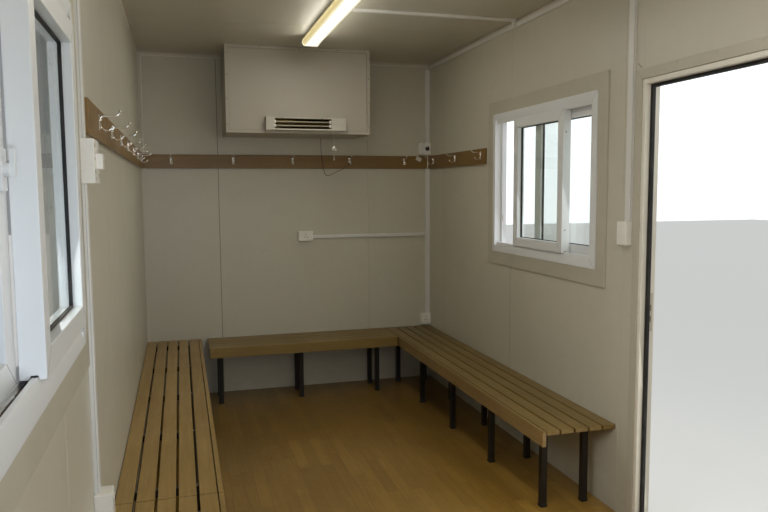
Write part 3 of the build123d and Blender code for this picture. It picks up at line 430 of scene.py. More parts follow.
# The diffuser's strength as it lights the room, and as the camera sees it.
LIT, SEEN_GLOW = 13.0, 1.15
WALL = (0.585, 0.555, 0.46)
WHITE = (0.775, 0.79, 0.80)
SLAT_LIGHT, SLAT_DARK = (0.41, 0.268, 0.088), (0.235, 0.141, 0.038)
RAIL_LIGHT, RAIL_DARK = (0.25, 0.145, 0.040), (0.15, 0.08, 0.020)
finishes = {
    "wall": panel_paint("panel_paint", WALL, (0.62, 0.60, 0.54)),
    "trim": painted("trim_paint", (0.60, 0.55, 0.46), (0.42, 0.37, 0.29), (0.70, 0.68, 0.62)),
    # A lighter copy of the trim paint: a painted highlight along the trims' lit edges.
    "trim_highlight": painted("trim_highlight_paint", (0.80, 0.78, 0.70), (0.50, 0.46, 0.38), (0.85, 0.84, 0.80),
                         roughness=0.37, stained=0.6),
    "architrave": painted("architrave_paint", (0.52, 0.49, 0.395), (0.40, 0.36, 0.28), (0.66, 0.64, 0.57),
                          wear=0.35),
    "outside_trim": painted("outside_trim_paint", (0.16, 0.19, 0.22), (0.24, 0.23, 0.21), (0.45, 0.44, 0.42),
                            dust=0.4),
    "chassis": painted("chassis_paint", (0.035, 0.035, 0.038), (0.14, 0.09, 0.06), (0.20, 0.12, 0.07),
                       roughness=0.6, dust=0.5, wear=0.8),
    "deck": bench_timber("deck_board", (0.40, 0.28, 0.16), (0.22, 0.14, 0.08), "Y", 1.2, 0.0),
    "vinyl": vinyl_planks(),
    "pvc": painted("window_pvc", WHITE, (0.60, 0.58, 0.52), (0.60, 0.58, 0.53), roughness=0.37, dust=0.1,
                   wear=0.1, coat=0.15, stained=0.05),
    "glass": pane_glass(),
    "door": painted("door_paint", (0.80, 0.765, 0.67), (0.48, 0.44, 0.36), (0.78, 0.76, 0.70), roughness=0.36,
                    wear=0.6, stained=0.2),
    "rubber": black_rubber(),
    "aluminium": bare_metal("mill_aluminium", (0.62, 0.62, 0.61), 0.38, (0.35, 0.33, 0.30)),
    "steel": bare_metal("zinc_steel", (0.58, 0.58, 0.57), 0.32, (0.30, 0.28, 0.25)),
    "slats_along": bench_timber("side_bench_timber", SLAT_LIGHT, SLAT_DARK, "Y", 0.077, INNER_X - 0.0005),
    # The right bench's copy of the timber is darker: painted shade from the window above it. Its front boards
    # use a lighter copy below, so the painted shade differs by side.
    "right_slats_painted_shade": bench_timber("right_bench_timber_painted_shade", (0.24, 0.156, 0.042), (0.135, 0.082, 0.020), "Y", 0.077,
                                INNER_X - 0.0005),
    # The end bench's copy of the timber, with its grain across the room, is darker: painted shade.
    "end_slats_painted_shade": bench_timber("end_bench_timber_painted_shade", (0.27, 0.18, 0.052), (0.155, 0.093, 0.024), "X", 0.077,
                                 INNER_Y - 0.0005),
    "right_front_painted_shade": bench_timber("right_front_timber_painted_shade", (0.37, 0.247, 0.10), (0.21, 0.13, 0.05), "Y", 0.077,
                                0.0),
    "rail_along": bench_timber("side_rail_timber", RAIL_LIGHT, RAIL_DARK, "Y", 3.0, 0.0, 0.45, 0.4),
    "rail_across": bench_timber("end_rail_timber", RAIL_LIGHT, RAIL_DARK, "X", 3.0, 0.0, 0.45, 0.4),
    "bench_steel": painted("bench_steel_paint", (0.012, 0.009, 0.007), (0.035, 0.024, 0.016),
                           (0.16, 0.13, 0.10), roughness=0.6, dust=0.3, wear=0.7),
    "chrome": bare_metal("hook_chrome", (0.95, 0.94, 0.92), 0.11, (0.80, 0.78, 0.75)),
    "light_body": painted("batten_paint", (0.50, 0.48, 0.42), (0.42, 0.38, 0.30), (0.55, 0.55, 0.52)),
    "diffuser": lit_diffuser(),
    "white_plastic": painted("trunk_plastic", (0.74, 0.73, 0.70), (0.58, 0.54, 0.45), (0.60, 0.57, 0.50),
                             roughness=0.37, wear=0.3, coat=0.1, stained=0.2),
    "cream_plastic": painted("box_plastic", (0.88, 0.86, 0.81), (0.60, 0.54, 0.42), (0.58, 0.54, 0.46),
                             roughness=0.37, wear=0.3, coat=0.1, stained=0.25),
    "bell": painted("bell_plastic", (0.52, 0.49, 0.42), (0.40, 0.36, 0.28), (0.60, 0.57, 0.50),
                    roughness=0.37),
    "dark_plastic": painted("knob_plastic", (0.03, 0.03, 0.03), (0.10, 0.09, 0.08), (0.2, 0.19, 0.18),
                            roughness=0.37),
    "cover": painted("cover_paint", (0.46, 0.42, 0.352), (0.46, 0.41, 0.32), (0.74, 0.71, 0.64), wear=0.6),
    "heater": painted("heater_enamel", (0.56, 0.53, 0.46), (0.50, 0.45, 0.36), (0.45, 0.40, 0.33),
                      roughness=0.36, coat=0.3),
    # The reflector's colour is darkened to stand for the dark room that the polished metal mirrors: a painted
    # reflection.
    "reflector": bare_metal("reflector_metal", (0.22, 0.18, 0.105), 0.14, (0.10, 0.07, 0.04),
                            (40.0, 4.0, 4.0)),
    "quartz": painted("heater_tube", (0.42, 0.37, 0.27), (0.16, 0.12, 0.08), (0.5, 0.45, 0.4),
                      roughness=0.36),
    "cord": painted("pull_cord_braid", (0.72, 0.69, 0.60), (0.50, 0.45, 0.36), (0.7, 0.68, 0.6),
                    roughness=0.8),
    "bar_steel": painted("dusty_bar_paint", (0.02, 0.018, 0.016), (0.06, 0.05, 0.04), (0.16, 0.13, 0.10),
                         roughness=0.5, dust=0.85, wear=0.5),
    "dirt": painted("track_dirt", (0.055, 0.042, 0.030), (0.13, 0.10, 0.07), (0.10, 0.08, 0.06),
                    roughness=0.9, dust=0.2),
    "seam": painted("seam_shadow", (0.24, 0.21, 0.165), (0.15, 0.13, 0.10), (0.3, 0.27, 0.22), roughness=0.7),
    "screw_dark": painted("dark_screw", (0.09, 0.08, 0.065), (0.18, 0.15, 0.11), (0.3, 0.28, 0.25),
                          roughness=0.45, dust=0.1),
    "peeled": painted("peeled_plastic", (0.36, 0.33, 0.27), (0.26, 0.23, 0.18), (0.5, 0.47, 0.4),
                      roughness=0.8),
    "tag": painted("tag_card", (0.74, 0.70, 0.60), (0.50, 0.45, 0.35), (0.62, 0.58, 0.50), roughness=0.6),
    "lead": painted("dark_lead", (0.035, 0.028, 0.022), (0.10, 0.08, 0.06), (0.10, 0.09, 0.08),
                    roughness=0.5),
}

finish_of_slot = {
    "wall_skin": "wall", "cover_paint": "cover", "trim_paint": "trim", "outside_trim": "outside_trim",
    "chassis_steel": "chassis", "deck_board": "deck", "floor_vinyl": "vinyl", "window_white": "pvc",
    "window_glass": "glass", "door_white": "door", "door_seal": "rubber", "sill_aluminium": "aluminium",
    "hinge_steel": "steel", "slat_wood": "slats_along", "rail_wood": "rail_across",
    "bench_steel": "bench_steel", "hook_chrome": "chrome", "light_white": "light_body",
    "light_diffuser": "diffuser", "white_plastic": "white_plastic", "knob_plastic": "dark_plastic",
    "heater_white": "heater",
    "reflector_metal": "reflector", "heater_tube": "quartz", "cord_white": "cord", "bell_white": "bell",
    "lead_dark": "lead",
}
finish_of_node = {
    "end_bench_boards": "end_slats_painted_shade", "right_bench_boards": "right_slats_painted_shade",
    "window_architraves": "architrave", "door_architrave": "architrave",
    "switch_and_socket_boxes": "cream_plastic", "isolator_box": "cream_plastic",
}


def finish_for(node):
    return finishes[finish_of_node.get(node, finish_of_slot[slot_of_node[node]])]


# Making pieces

# A face is narrow when its area is below its border's length times this.
NARROW = 0.003
# How far grit sinks at its borders, and how far a drawn joint line stands out.
SUNK = 0.0003
LINE = 0.00015


def mesh_from(bm, name):
    mesh = bpy.data.meshes.new(name)
    bm.to_mesh(mesh)
    bm.free()
    return mesh


def show(name, mesh, finish, body="cabin", smooth_below=35):
    """Turns a mesh into a piece that rides on a body and has one finish. Only its narrow faces are smooth."""
    mesh.materials.clear()
    mesh.materials.append(finish)
    for face in mesh.polygons:
        corners = [mesh.vertices[i].co for i in face.vertices]
        around = sum((a - b).length for a, b in zip(corners, corners[1:] + corners[:1]))
        face.use_smooth = face.area < around * NARROW
    mesh.set_sharp_from_angle(angle=math.radians(smooth_below))
    piece = bpy.data.objects.new(name, mesh)
    bpy.context.collection.objects.link(piece)
    piece.modifiers.new("even_shading", "WEIGHTED_NORMAL").keep_sharp = True
    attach(piece, body)
    return piece


def show_bmesh(name, bm, finish, body="cabin", smooth_below=35):
    bmesh.ops.recalc_face_normals(bm, faces=bm.faces)
    return show(name, mesh_from(bm, name), finishes[finish], body, smooth_below)


def bevel(bm, edges, width, segments):
    bmesh.ops.bevel(bm, geom=edges, offset=width, offset_type="OFFSET", affect="EDGES", segments=segments,
                    profile=0.5, material=-1, clamp_overlap=True)


def soften(bm, width, segments=2, where=None):
    """Rounds the sharp edges, or those of them whose middle passes a test."""
    edges = [e for e in bm.edges if len(e.link_faces) == 2 and e.calc_face_angle(0) > math.radians(28)]
    if where is not None:
        edges = [e for e in edges if where((e.verts[0].co + e.verts[1].co) / 2)]
    bevel(bm, edges, width, segments)


def node_bmesh(node, flatten=False):
    """A CAD node's shape with its doubles merged. Flattened, it has no edges across its flat faces."""
    bm = bmesh.new()
    bm.from_mesh(frame["nodes"][node].data)
    bmesh.ops.remove_doubles(bm, verts=bm.verts, dist=MERGE)
    if flatten:
        bmesh.ops.dissolve_limit(bm, angle_limit=math.radians(0.5), verts=bm.verts, edges=bm.edges)
    return bm


def solids(node):
    """The (low, high) boxes of a node's separate solids, in order along x, then y, then z."""
    bm = node_bmesh(node)
    boxes, waiting = [], set(bm.verts)
    while waiting:
        reached, front = set(), [next(iter(waiting))]
        while front:
            vert = front.pop()
            if vert not in reached:
                reached.add(vert)
                front += [edge.other_vert(vert) for edge in vert.link_edges]
        waiting -= reached
        spots = [vert.co for vert in reached]
        low, high = ([pick(p[i] for p in spots) for i in range(3)] for pick in (min, max))
        boxes.append((Vector(low), Vector(high)))
    bm.free()
    return sorted(boxes, key=lambda box: tuple(round(c, 4) for c in box[0]))


def softened_node(node, width, segments=2, first=None):
    """A CAD node with rounded edges, shown in its place.

    Some edges may be rounded first, given as (test, width, segments).
    """
    bm = node_bmesh(node, flatten=True)
    if first:
        where, wide, steps = first
        soften(bm, wide, steps, where)
    soften(bm, width, segments)
    name = node + "_dressed"
    piece = show(name, mesh_from(bm, name), finish_for(node), body_of_node[node])
    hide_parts(node)
    return piece


def span(face, out, back, front):
    """The places behind and in front of a face that points to plus or minus, in rising order."""
    return sorted((face - out * back, face + out * front))


def add_box(bm, low, high, round_to=0.0, segments=2, place=None):
    """A box between two corners, with its edges rounded."""
    low, high, before = Vector(low), Vector(high), set(bm.verts)
    made = bmesh.ops.create_cube(bm, size=1)["verts"]
    bmesh.ops.scale(bm, vec=high - low, verts=made)
    bmesh.ops.translate(bm, vec=(low + high) / 2, verts=made)
    if round_to:
        bevel(bm, list({e for v in made for e in v.link_edges}), round_to, segments)
    if place is not None:
        bmesh.ops.transform(bm, matrix=place, verts=[v for v in bm.verts if v not in before])


def turn_to(normal):
    return Vector(normal).to_track_quat("Z", "Y").to_matrix().to_4x4()


def add_disc(bm, point, normal, radius, height, top=0.7, segments=12, sink=0.0005):
    """A low round head that stands on a surface. Its back sits a little below it."""
    made = bmesh.ops.create_cone(bm, cap_ends=True, segments=segments, radius1=radius, radius2=radius * top,
                                 depth=height + sink)["verts"]
    lift = Matrix.Translation((0, 0, (height - sink) / 2))
    bmesh.ops.transform(bm, matrix=Matrix.Translation(point) @ turn_to(normal) @ lift, verts=made)


def add_lathed(bm, outline, point, normal, steps=24):
    """A round piece from an outline of (radius, height) points, about a direction."""
    ring = [bm.verts.new((r, 0, z)) for r, z in outline]
    edges = [bm.edges.new(pair) for pair in zip(ring, ring[1:])]
    before = set(bm.verts) - set(ring)
    bmesh.ops.spin(bm, geom=ring + edges, axis=(0, 0, 1), cent=(0, 0, 0), angle=math.tau, steps=steps,
                   use_merge=True)
    made = [v for v in bm.verts if v not in before]
    bmesh.ops.transform(bm, matrix=Matrix.Translation(point) @ turn_to(normal), verts=made)


def drive_screws(name, places, radius, finish, body="cabin", height=None):
    """Screw or rivet heads at (point, normal) places."""
    bm = bmesh.new()
    for point, normal in places:
        add_disc(bm, point, normal, radius, height or radius * 0.45)
    return show_bmesh(name, bm, finish, body, smooth_below=50)


def new_curve(name, points, radius, around, steps):
    """A round bar along a smooth line, as a curve."""
    curve = bpy.data.curves.new(name, "CURVE")
    curve.dimensions = "3D"
    curve.bevel_depth = radius
    curve.bevel_resolution = around
    curve.resolution_u = steps
    curve.use_fill_caps = True
    spline = curve.splines.new("NURBS")
    spline.points.add(len(points) - 1)
    for spot, point in zip(spline.points, points):
        spot.co = (*point, 1.0)
    spline.order_u = 3
    spline.use_endpoint_u = True
    holder = bpy.data.objects.new(name, curve)
    bpy.context.collection.objects.link(holder)
    return holder


def add_wire(bm, points, radius):
    """A round bar along a smooth line, added to a mesh."""
    holder = new_curve("wire", points, radius, 3, 6)
    mesh = bpy.data.meshes.new_from_object(holder)
    bpy.data.curves.remove(holder.data)
    bm.from_mesh(mesh)
    bpy.data.meshes.remove(mesh)


def extrude(bm, faces, step):
    """Draws faces out along a step, which makes them a closed shape."""
    grown = bmesh.ops.extrude_face_region(bm, geom=faces)["geom"]
    bmesh.ops.translate(bm, vec=step, verts=[item for item in grown if isinstance(item, bmesh.types.BMVert)])


def along(axis, length):
    step = Vector()
    step[axis] = length
    return step


def add_face(bm, outline, level, axis):
    """A flat face from an outline of two coordinates, at a level of the third."""
    spots = []
    for pair in outline:
        spot = list(pair)
        spot.insert(axis, level)
        spots.append(bm.verts.new(spot))
    face = bm.faces.new(spots)
    face.normal_update()
    return face


def add_ring(bm, low, high, width, axis=0):
    """A rectangular strip round the sides of a box that is thin along one axis."""
    a, b = [i for i in range(3) if i != axis]
    outline = [(low[a], low[b]), (high[a], low[b]), (high[a], high[b]), (low[a], high[b])]
    middle = add_face(bm, outline, low[axis], axis)
    border = bmesh.ops.inset_region(bm, faces=[middle], thickness=width, use_boundary=True,
                                    use_even_offset=True)["faces"]
    bmesh.ops.delete(bm, geom=[middle], context="FACES")
    extrude(bm, border, along(axis, high[axis] - low[axis]))


def add_strip(bm, a, b, normal, width, height, sink=0.0002):
    """A flat strip from one point of a surface to another."""
    a, b, out = Vector(a), Vector(b), Vector(normal).normalized()
    ahead = (b - a).normalized()
    turn = Matrix((ahead, out.cross(ahead), out)).transposed().to_4x4()
    middle = (a + b) / 2 + out * (height - sink) / 2
    size = Matrix.Diagonal(((b - a).length, width, height + sink, 1))
    bmesh.ops.create_cube(bm, size=1, matrix=Matrix.Translation(middle) @ turn @ size)


def add_lid(bm, low, high, axis, out, inset=0.002, rise=0.0008, round_to=0.0004):
    """A raised lid over the side of a box that faces plus or minus an axis."""
    low, high = Vector(low), Vector(high)
    face = high[axis] if out > 0 else low[axis]
    for i in range(3):
        low[i], high[i] = low[i] + inset, high[i] - inset
    low[axis], high[axis] = span(face, out, 0.0003, rise)
    add_box(bm, low, high, round_to, 1)


def add_prism(bm, outline, start, end, axis=1):
    """An outline of two other coordinates, drawn out along an axis."""
    extrude(bm, [add_face(bm, outline, start, axis)], along(axis, end - start))


def add_crust(bm, low, high, across, lengthwise, tallest, seed):
    """Loose grit on a flat strip, in low uneven heaps that end at its borders."""
    pick = random.Random(seed)
    wide, deep = high[0] - low[0], high[1] - low[1]
    middle = Matrix.Translation((low[0] + wide / 2, low[1] + deep / 2, low[2]))
    place = middle @ Matrix.Diagonal((wide, deep, 1, 1))
    made = bmesh.ops.create_grid(bm, x_segments=across, y_segments=lengthwise, size=0.5,
                                 matrix=place)["verts"]
    for vert in sorted(made, key=lambda vert: (round(vert.co.x, 6), vert.co.y)):
        vert.co.z += -SUNK if vert.is_boundary else tallest * pick.random() ** 2


def add_flake(bm, place, size, thick, seed):
    """A thin patch with a broken outline."""
    pick = random.Random(seed)
    start = Matrix.Rotation(math.radians(-90), 4, "Z")
    made = bmesh.ops.create_circle(bm, cap_ends=True, segments=11, radius=size, matrix=start)["verts"]
    for vert in made:
        vert.co.x *= pick.uniform(0.45, 1)
        vert.co.y *= pick.uniform(0.45, 1)
    bmesh.ops.transform(bm, matrix=place, verts=made)
    extrude(bm, list(made[0].link_faces), place.to_3x3() @ Vector((0, 0, thick)))


def add_ball(bm, point, radius):
    bmesh.ops.create_uvsphere(bm, u_segments=14, v_segments=9, radius=radius,
                              matrix=Matrix.Translation(point))


def on_wall(point, normal):
    """A matrix for pieces drawn with x across, y up and z out of an upright surface."""
    out, up = Vector(normal), Vector((0, 0, 1))
    return Matrix.Translation(point) @ Matrix((up.cross(out), up, out)).transposed().to_4x4()


def corners_of(low, high):
    return [(low.y, low.z), (high.y, low.z), (high.y, high.z), (low.y, high.z)]


# Windows

WINDOW_FLANGE, WINDOW_FACE = 0.030, 0.050
PANE_HIDDEN = 0.0077
TRACK_RISE, TRACK_NEAR, TRACK_FAR = 0.040, 0.0065, 0.0305
GASKET_FACE, GASKET_DEPTH = 0.0048, 0.0045
SASH_SCREW_HEIGHTS = (2.0746, 1.5408)
STRIKER_HEIGHTS = (1.556, 1.596)


def add_mitres(bm, box, out, outer, inner):
    """The four corner joints of a flat frame that faces plus or minus x."""
    x = box[1].x if out > 0 else box[0].x
    for (y0, z0), (y1, z1) in zip(corners_of(*outer), corners_of(*inner)):
        add_strip(bm, (x, y0, z0), (x, y1, z1), (out, 0, 0), 0.0012, LINE)


def shrunk(box, inset):
    step = Vector((0, inset, inset))
    return box[0] + step, box[1] - step


def dress_windows():
    """Rounded frames and sashes with gaskets, mitred corners, grit in the tracks and small fittings."""
    for node, width, steps in (("window_frames", 0.002, 2), ("window_inner_sashes", 0.0022, 2),
                               ("window_outer_sashes", 0.0018, 2), ("window_architraves", 0.0025, 2),
                               ("window_catches", 0.003, 3)):
        softened_node(node, width, steps)
    gaskets, mitres, grit, plugs = (bmesh.new() for _ in range(4))
    panes = solids("window_glass")
    for low, high in panes:
        inset = PANE_HIDDEN - 0.0005
        for face, out in ((low.x, -1), (high.x, 1)):
            x0, x1 = span(face, out, 0.0001, GASKET_DEPTH)
            add_ring(gaskets, (x0, low.y + inset, low.z + inset), (x1, high.y - inset, high.z - inset),
                     GASKET_FACE)
    frames, inner, outer = (solids(n) for n in ("window_frames", "window_inner_sashes",
                                                "window_outer_sashes"))
    for side, out, pane_in, pane_out in ((0, 1, panes[1], panes[0]), (1, -1, panes[2], panes[3])):
        frame_box = shrunk(frames[side], WINDOW_FLANGE)
        opening = shrunk(frame_box, WINDOW_FACE)
        sash = inner[side]
        add_mitres(mitres, frames[side], out, frame_box, opening)
        add_mitres(mitres, sash, out, sash, shrunk(pane_in, PANE_HIDDEN))
        add_mitres(mitres, outer[side], out, outer[side], shrunk(pane_out, PANE_HIDDEN))
        track_z = frame_box[0].z + TRACK_RISE
        x0, x1 = sorted((-out * (INNER_X + TRACK_NEAR), -out * (INNER_X + TRACK_FAR)))
        add_crust(grit, (x0, opening[0].y, track_z), (x1, opening[1].y, track_z), 6, 160, 0.0022, side)
        for y, step in ((sash[0].y, -1), (sash[1].y, 1)):
            add_crust(grit, (x0, y - 0.02, track_z), (x1, y + 0.02, track_z), 8, 10, 0.005, side + 7)
            y0, y1 = span(y, step, 0.012, 0.0035)
            plug_x = sorted((-out * (INNER_X - 0.0055), -out * (INNER_X + 0.0075)))
            add_box(plugs, (plug_x[0], y0, sash[0].z + 0.0065), (plug_x[1], y1, sash[0].z + 0.0095), 0.0008,
                    1)
    show_bmesh("pane_gaskets", gaskets, "rubber")
    show_bmesh("window_mitres", mitres, "seam")
    show_bmesh("track_grit", grit, "dirt", smooth_below=20)
    show_bmesh("sash_plugs", plugs, "rubber")
    side_screws = [((INNER_X - 0.001, inner[1][0].y, z), (0, -1, 0)) for z in SASH_SCREW_HEIGHTS]
    drive_screws("sash_screws", side_screws, 0.004, "dark_plastic")
    striker = bmesh.new()
    jamb_y = shrunk(frames[1], WINDOW_FLANGE + WINDOW_FACE)[1].y
    add_box(striker, (INNER_X + 0.034, jamb_y - 0.006, STRIKER_HEIGHTS[0]),
            (INNER_X + 0.044, jamb_y + 0.017, STRIKER_HEIGHTS[1]), 0.0015)
    show_bmesh("catch_striker", striker, "white_plastic")
    dress_windows_outside(frames)


def dress_windows_outside(frames):
    """Drip caps over the windows and drain covers under them."""
    caps, drains = bmesh.new(), bmesh.new()
    for (low, high), out in zip(frames, (-1, 1)):
        wall = out * OUTER_X
        z = high.z + 0.004
        outline = [(wall, z), (wall + out * 0.034, z - 0.004), (wall + out * 0.034, z + 0.001),
                   (wall, z + 0.022)]
        add_prism(caps, outline, low.y - 0.02, high.y + 0.02)
        for part in (0.2, 0.8):
            y = low.y + (high.y - low.y) * part
            x0, x1 = span(high.x if out > 0 else low.x, out, 0.001, 0.006)
            add_box(drains, (x0, y - 0.022, low.z + 0.044), (x1, y + 0.022, low.z + 0.056), 0.002)
    show_bmesh("window_drip_caps", caps, "outside_trim")
    show_bmesh("drain_covers", drains, "pvc")


# Doorway

TOP_RIVETS = (-0.170, -0.398, -0.625)
SIDE_RIVETS = (2.274, 1.993, 1.737, 1.479, 1.221, 0.963, 0.705, 0.447, 0.215)
RIVET_EDGE = 0.0085
MITRED_FACE = 0.032
SCRATCH = ((0.1125, 2.3345), (0.0811, 2.3095))
STRIKER_PLATE = (1.105, 1.285)
STRIKER_SLOTS = (1.165, 1.215)
SILL_RIBS = 7


def dress_doorway():
    """Rounded jambs, rivets, a ribbed sill, a lock striker, hinge screws and the leaf's fittings."""
    frame_low, frame_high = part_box("door_frame")
    cover_low, cover_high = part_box("door_architrave")
    sill_low, sill_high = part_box("door_sill")
    softened_node("door_frame", 0.001, 1, (lambda p: p.x < frame_low.x + 0.001, 0.006, 4))
    softened_node("door_architrave", 0.0022)
    softened_node("door_seal", 0.003, 3)
    softened_node("door_sill", 0.002)
    ribs = bmesh.new()
    for i in range(SILL_RIBS):
        x = INNER_X + 0.014 + (sill_high.x - INNER_X - 0.022) * i / (SILL_RIBS - 1)
        add_box(ribs, (x - 0.0018, sill_low.y + 0.004, sill_high.z - 0.0003),
                (x + 0.0018, sill_high.y - 0.004, sill_high.z + 0.0012), 0.0006, 1)
    show_bmesh("sill_ribs", ribs, "aluminium")
    face = cover_low.x
    rivets = [((face, y, cover_high.z - RIVET_EDGE), (-1, 0, 0)) for y in TOP_RIVETS]
    sides = (cover_high.y - RIVET_EDGE, cover_low.y + RIVET_EDGE)
    rivets += [((face, y, z), (-1, 0, 0)) for z in SIDE_RIVETS for y in sides]
    drive_screws("architrave_rivets", rivets, 0.0038, "architrave", height=0.0014)
    lines = bmesh.new()
    for y0, y1 in ((cover_high.y, frame_high.y - MITRED_FACE), (cover_low.y, frame_low.y + MITRED_FACE)):
        add_strip(lines, (face, y0, cover_high.z), (face, y1, cover_high.z - abs(y0 - y1)), (-1, 0, 0),
                  0.0012, LINE)
    start, end = ((INNER_X, y, z) for y, z in SCRATCH)
    add_strip(lines, start, end, (-1, 0, 0), 0.004, 2 * LINE)
    show_bmesh("doorway_lines", lines, "seam")
    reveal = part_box("door_seal")[1]
    plate, slots = bmesh.new(), bmesh.new()
    add_box(plate, (reveal.x + 0.003, reveal.y + 0.0088, STRIKER_PLATE[0]),
            (reveal.x + 0.031, reveal.y + 0.0104, STRIKER_PLATE[1]), 0.0005, 1)
    # The slots are flat patches in the shadow finish: painted shade for the openings.
    for z in STRIKER_SLOTS:
        add_box(slots, (reveal.x + 0.011, reveal.y + 0.0084, z - 0.014),
                (reveal.x + 0.023, reveal.y + 0.0090, z + 0.014))
    show_bmesh("striker_plate", plate, "trim")
    show_bmesh("striker_slots", slots, "seam")
    dress_hinges()
    dress_leaf()
    cap = bmesh.new()
    z = frame_high.z + 0.004
    outline = [(OUTER_X, z), (OUTER_X + 0.045, z - 0.006), (OUTER_X + 0.045, z), (OUTER_X, z + 0.026)]
    add_prism(cap, outline, frame_low.y - 0.03, frame_high.y + 0.03)
    show_bmesh("door_drip_cap", cap, "outside_trim")


def dress_hinges():
    """Four screws on each fixed and each moving half."""
    fixed, moving = [], []
    leaf_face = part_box("door_leaf")[0].y - 0.003
    spots = [(a, b) for a in (0.008, 0.022) for b in (0.012, 0.038)]
    for low, high in solids("door_hinges_fixed"):
        middle = (low.z + high.z) / 2
        fixed += [((low.x + 0.003, low.y + a, middle - b), (1, 0, 0)) for a, b in spots]
    for low, high in solids("door_hinges_moving"):
        moving += [((high.x - a, leaf_face, low.z + b), (0, -1, 0)) for a, b in spots]
    drive_screws("hinge_screws_fixed", fixed, 0.0042, "steel")
    drive_screws("hinge_screws_moving", moving, 0.0042, "steel", "door")


def dress_leaf():
    """The leaf's edge profiles, kick plates, lock plate and handle fittings."""
    softened_node("door_leaf", 0.0015)
    softened_node("door_handles", 0.0012)
    low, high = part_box("door_leaf")
    handles = solids("door_handles")
    border, kick, steel, dark = (bmesh.new() for _ in range(4))
    for face, out in ((low.y, -1), (high.y, 1)):
        y0, y1 = span(face, out, 0.0002, 0.0014)
        add_ring(border, (low.x, y0, low.z), (high.x, y1, high.z), 0.034, axis=1)
        y0, y1 = span(face, out, 0.0002, 0.0016)
        add_box(kick, (low.x + 0.045, y0, low.z + 0.045), (high.x - 0.045, y1, low.z + 0.245), 0.0006, 1)
        for x in (low.x + 0.06, high.x - 0.06):
            for z in (low.z + 0.06, low.z + 0.23):
                add_disc(steel, (x, face + out * 0.0016, z), (0, out, 0), 0.0035, 0.0014)
    middle = (handles[0][0].z + handles[0][1].z) / 2
    # The dark box on the lock plate and the keyholes are flat dark patches standing for openings: painted
    # shade.
    lock_parts = ((steel, -0.0003, 0.0012, 0.007, -0.115, 0.085, 0.0005, 1),
                  (dark, 0.0010, 0.0014, 0.012, -0.065, -0.035, 0, 1),
                  (steel, 0.0010, 0.0040, 0.012, -0.010, 0.012, 0.0015, 2))
    for bm, back, front, margin, bottom, top, round_to, steps in lock_parts:
        add_box(bm, (high.x + back, low.y + margin, middle + bottom),
                (high.x + front, high.y - margin, middle + top), round_to, steps)
    for _, corner in handles:
        out = -1 if corner.y < (low.y + high.y) / 2 else 1
        x = corner.x - 0.019
        face = (low.y if out < 0 else high.y) + out * 0.008
        add_disc(steel, (x, face, middle - 0.055), (0, out, 0), 0.0085, 0.002, 0.95, 20)
        place = on_wall((x, face + out * 0.002, middle - 0.057), (0, out, 0))
        add_box(dark, (-0.0012, -0.0045, -0.0002), (0.0012, 0.0045, 0.0003), place=place)
        for z in (middle - 0.076, middle + 0.076):
            add_disc(steel, (x, face, z), (0, out, 0), 0.004, 0.0016)
    show_bmesh("leaf_border", border, "door", "door")
    show_bmesh("kick_plates", kick, "aluminium", "door")
    show_bmesh("lock_parts", steel, "steel", "door")
    show_bmesh("keyholes", dark, "dark_plastic", "door")


# Benches

def dress_benches():
    """Rounded boards, steel frames with dusty bars, and rubber feet."""
    for node in ("left_bench_boards", "end_bench_boards", "right_bench_boards"):
        boards = softened_node(node, 0.0022, 3)
    # The right bench's lower front faces take a lighter copy than its tops: painted shade that differs by
    # side.
    boards.data.materials.append(finishes["right_front_painted_shade"])
    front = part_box("right_bench_boards")[0].x + 0.024
    for face in boards.data.polygons:
        face.material_index = 1 if face.center.x < front and face.center.z < RIGHT_SEAT - 0.03 else 0
    for node in ("bench_legs", "bench_rails"):
        softened_node(node, 0.002, 2)
    bars = softened_node("bench_cross_bars", 0.002, 2)
    bars.data.materials[0] = finishes["bar_steel"]
    feet = bmesh.new()
    for low, high in solids("bench_legs"):
        add_box(feet, (low.x - 0.002, low.y - 0.002, FLOOR),
                (high.x + 0.002, high.y + 0.002, FLOOR + 0.016), 0.0025)
    show_bmesh("bench_feet", feet, "rubber")


# Hooks

# The prongs' routes are given in millimetres, out from the plate and up from its middle.
UPPER_PRONG = ((2, 8), (8, 17), (18, 20.5), (45, 20.5), (60, 22), (69, 30), (71, 36))
LOWER_PRONG = ((2, 6), (6, -10), (9, -22), (20, -28.5), (33, -27), (42, -20), (43.5, -17))

SCREW_COLLAR = ((0.0, 0.0115), (0.0035, 0.0112), (0.0058, 0.0075), (0.0075, 0.0045), (0.0092, 0.003),
                (0.0, 0.003))


def draw_hook():
    """One double hook on its plate, as a mesh with x across, y up and z out."""
    bm = bmesh.new()
    for prong, radius in ((UPPER_PRONG, 0.0034), (LOWER_PRONG, 0.0032)):
        add_wire(bm, [(0, up / 1000, out / 1000) for out, up in prong], radius)
        out, up = prong[-1]
        add_ball(bm, (0, up / 1000 + 0.0018, out / 1000), 0.0062)
    add_lathed(bm, SCREW_COLLAR, (0, 0.0065, 0), (0, 0, 1), 16)
    add_box(bm, (-0.010, -0.027, 0), (0.010, 0.027, 0.0032), 0.0012, 3)
    return mesh_from(bm, "one_hook")


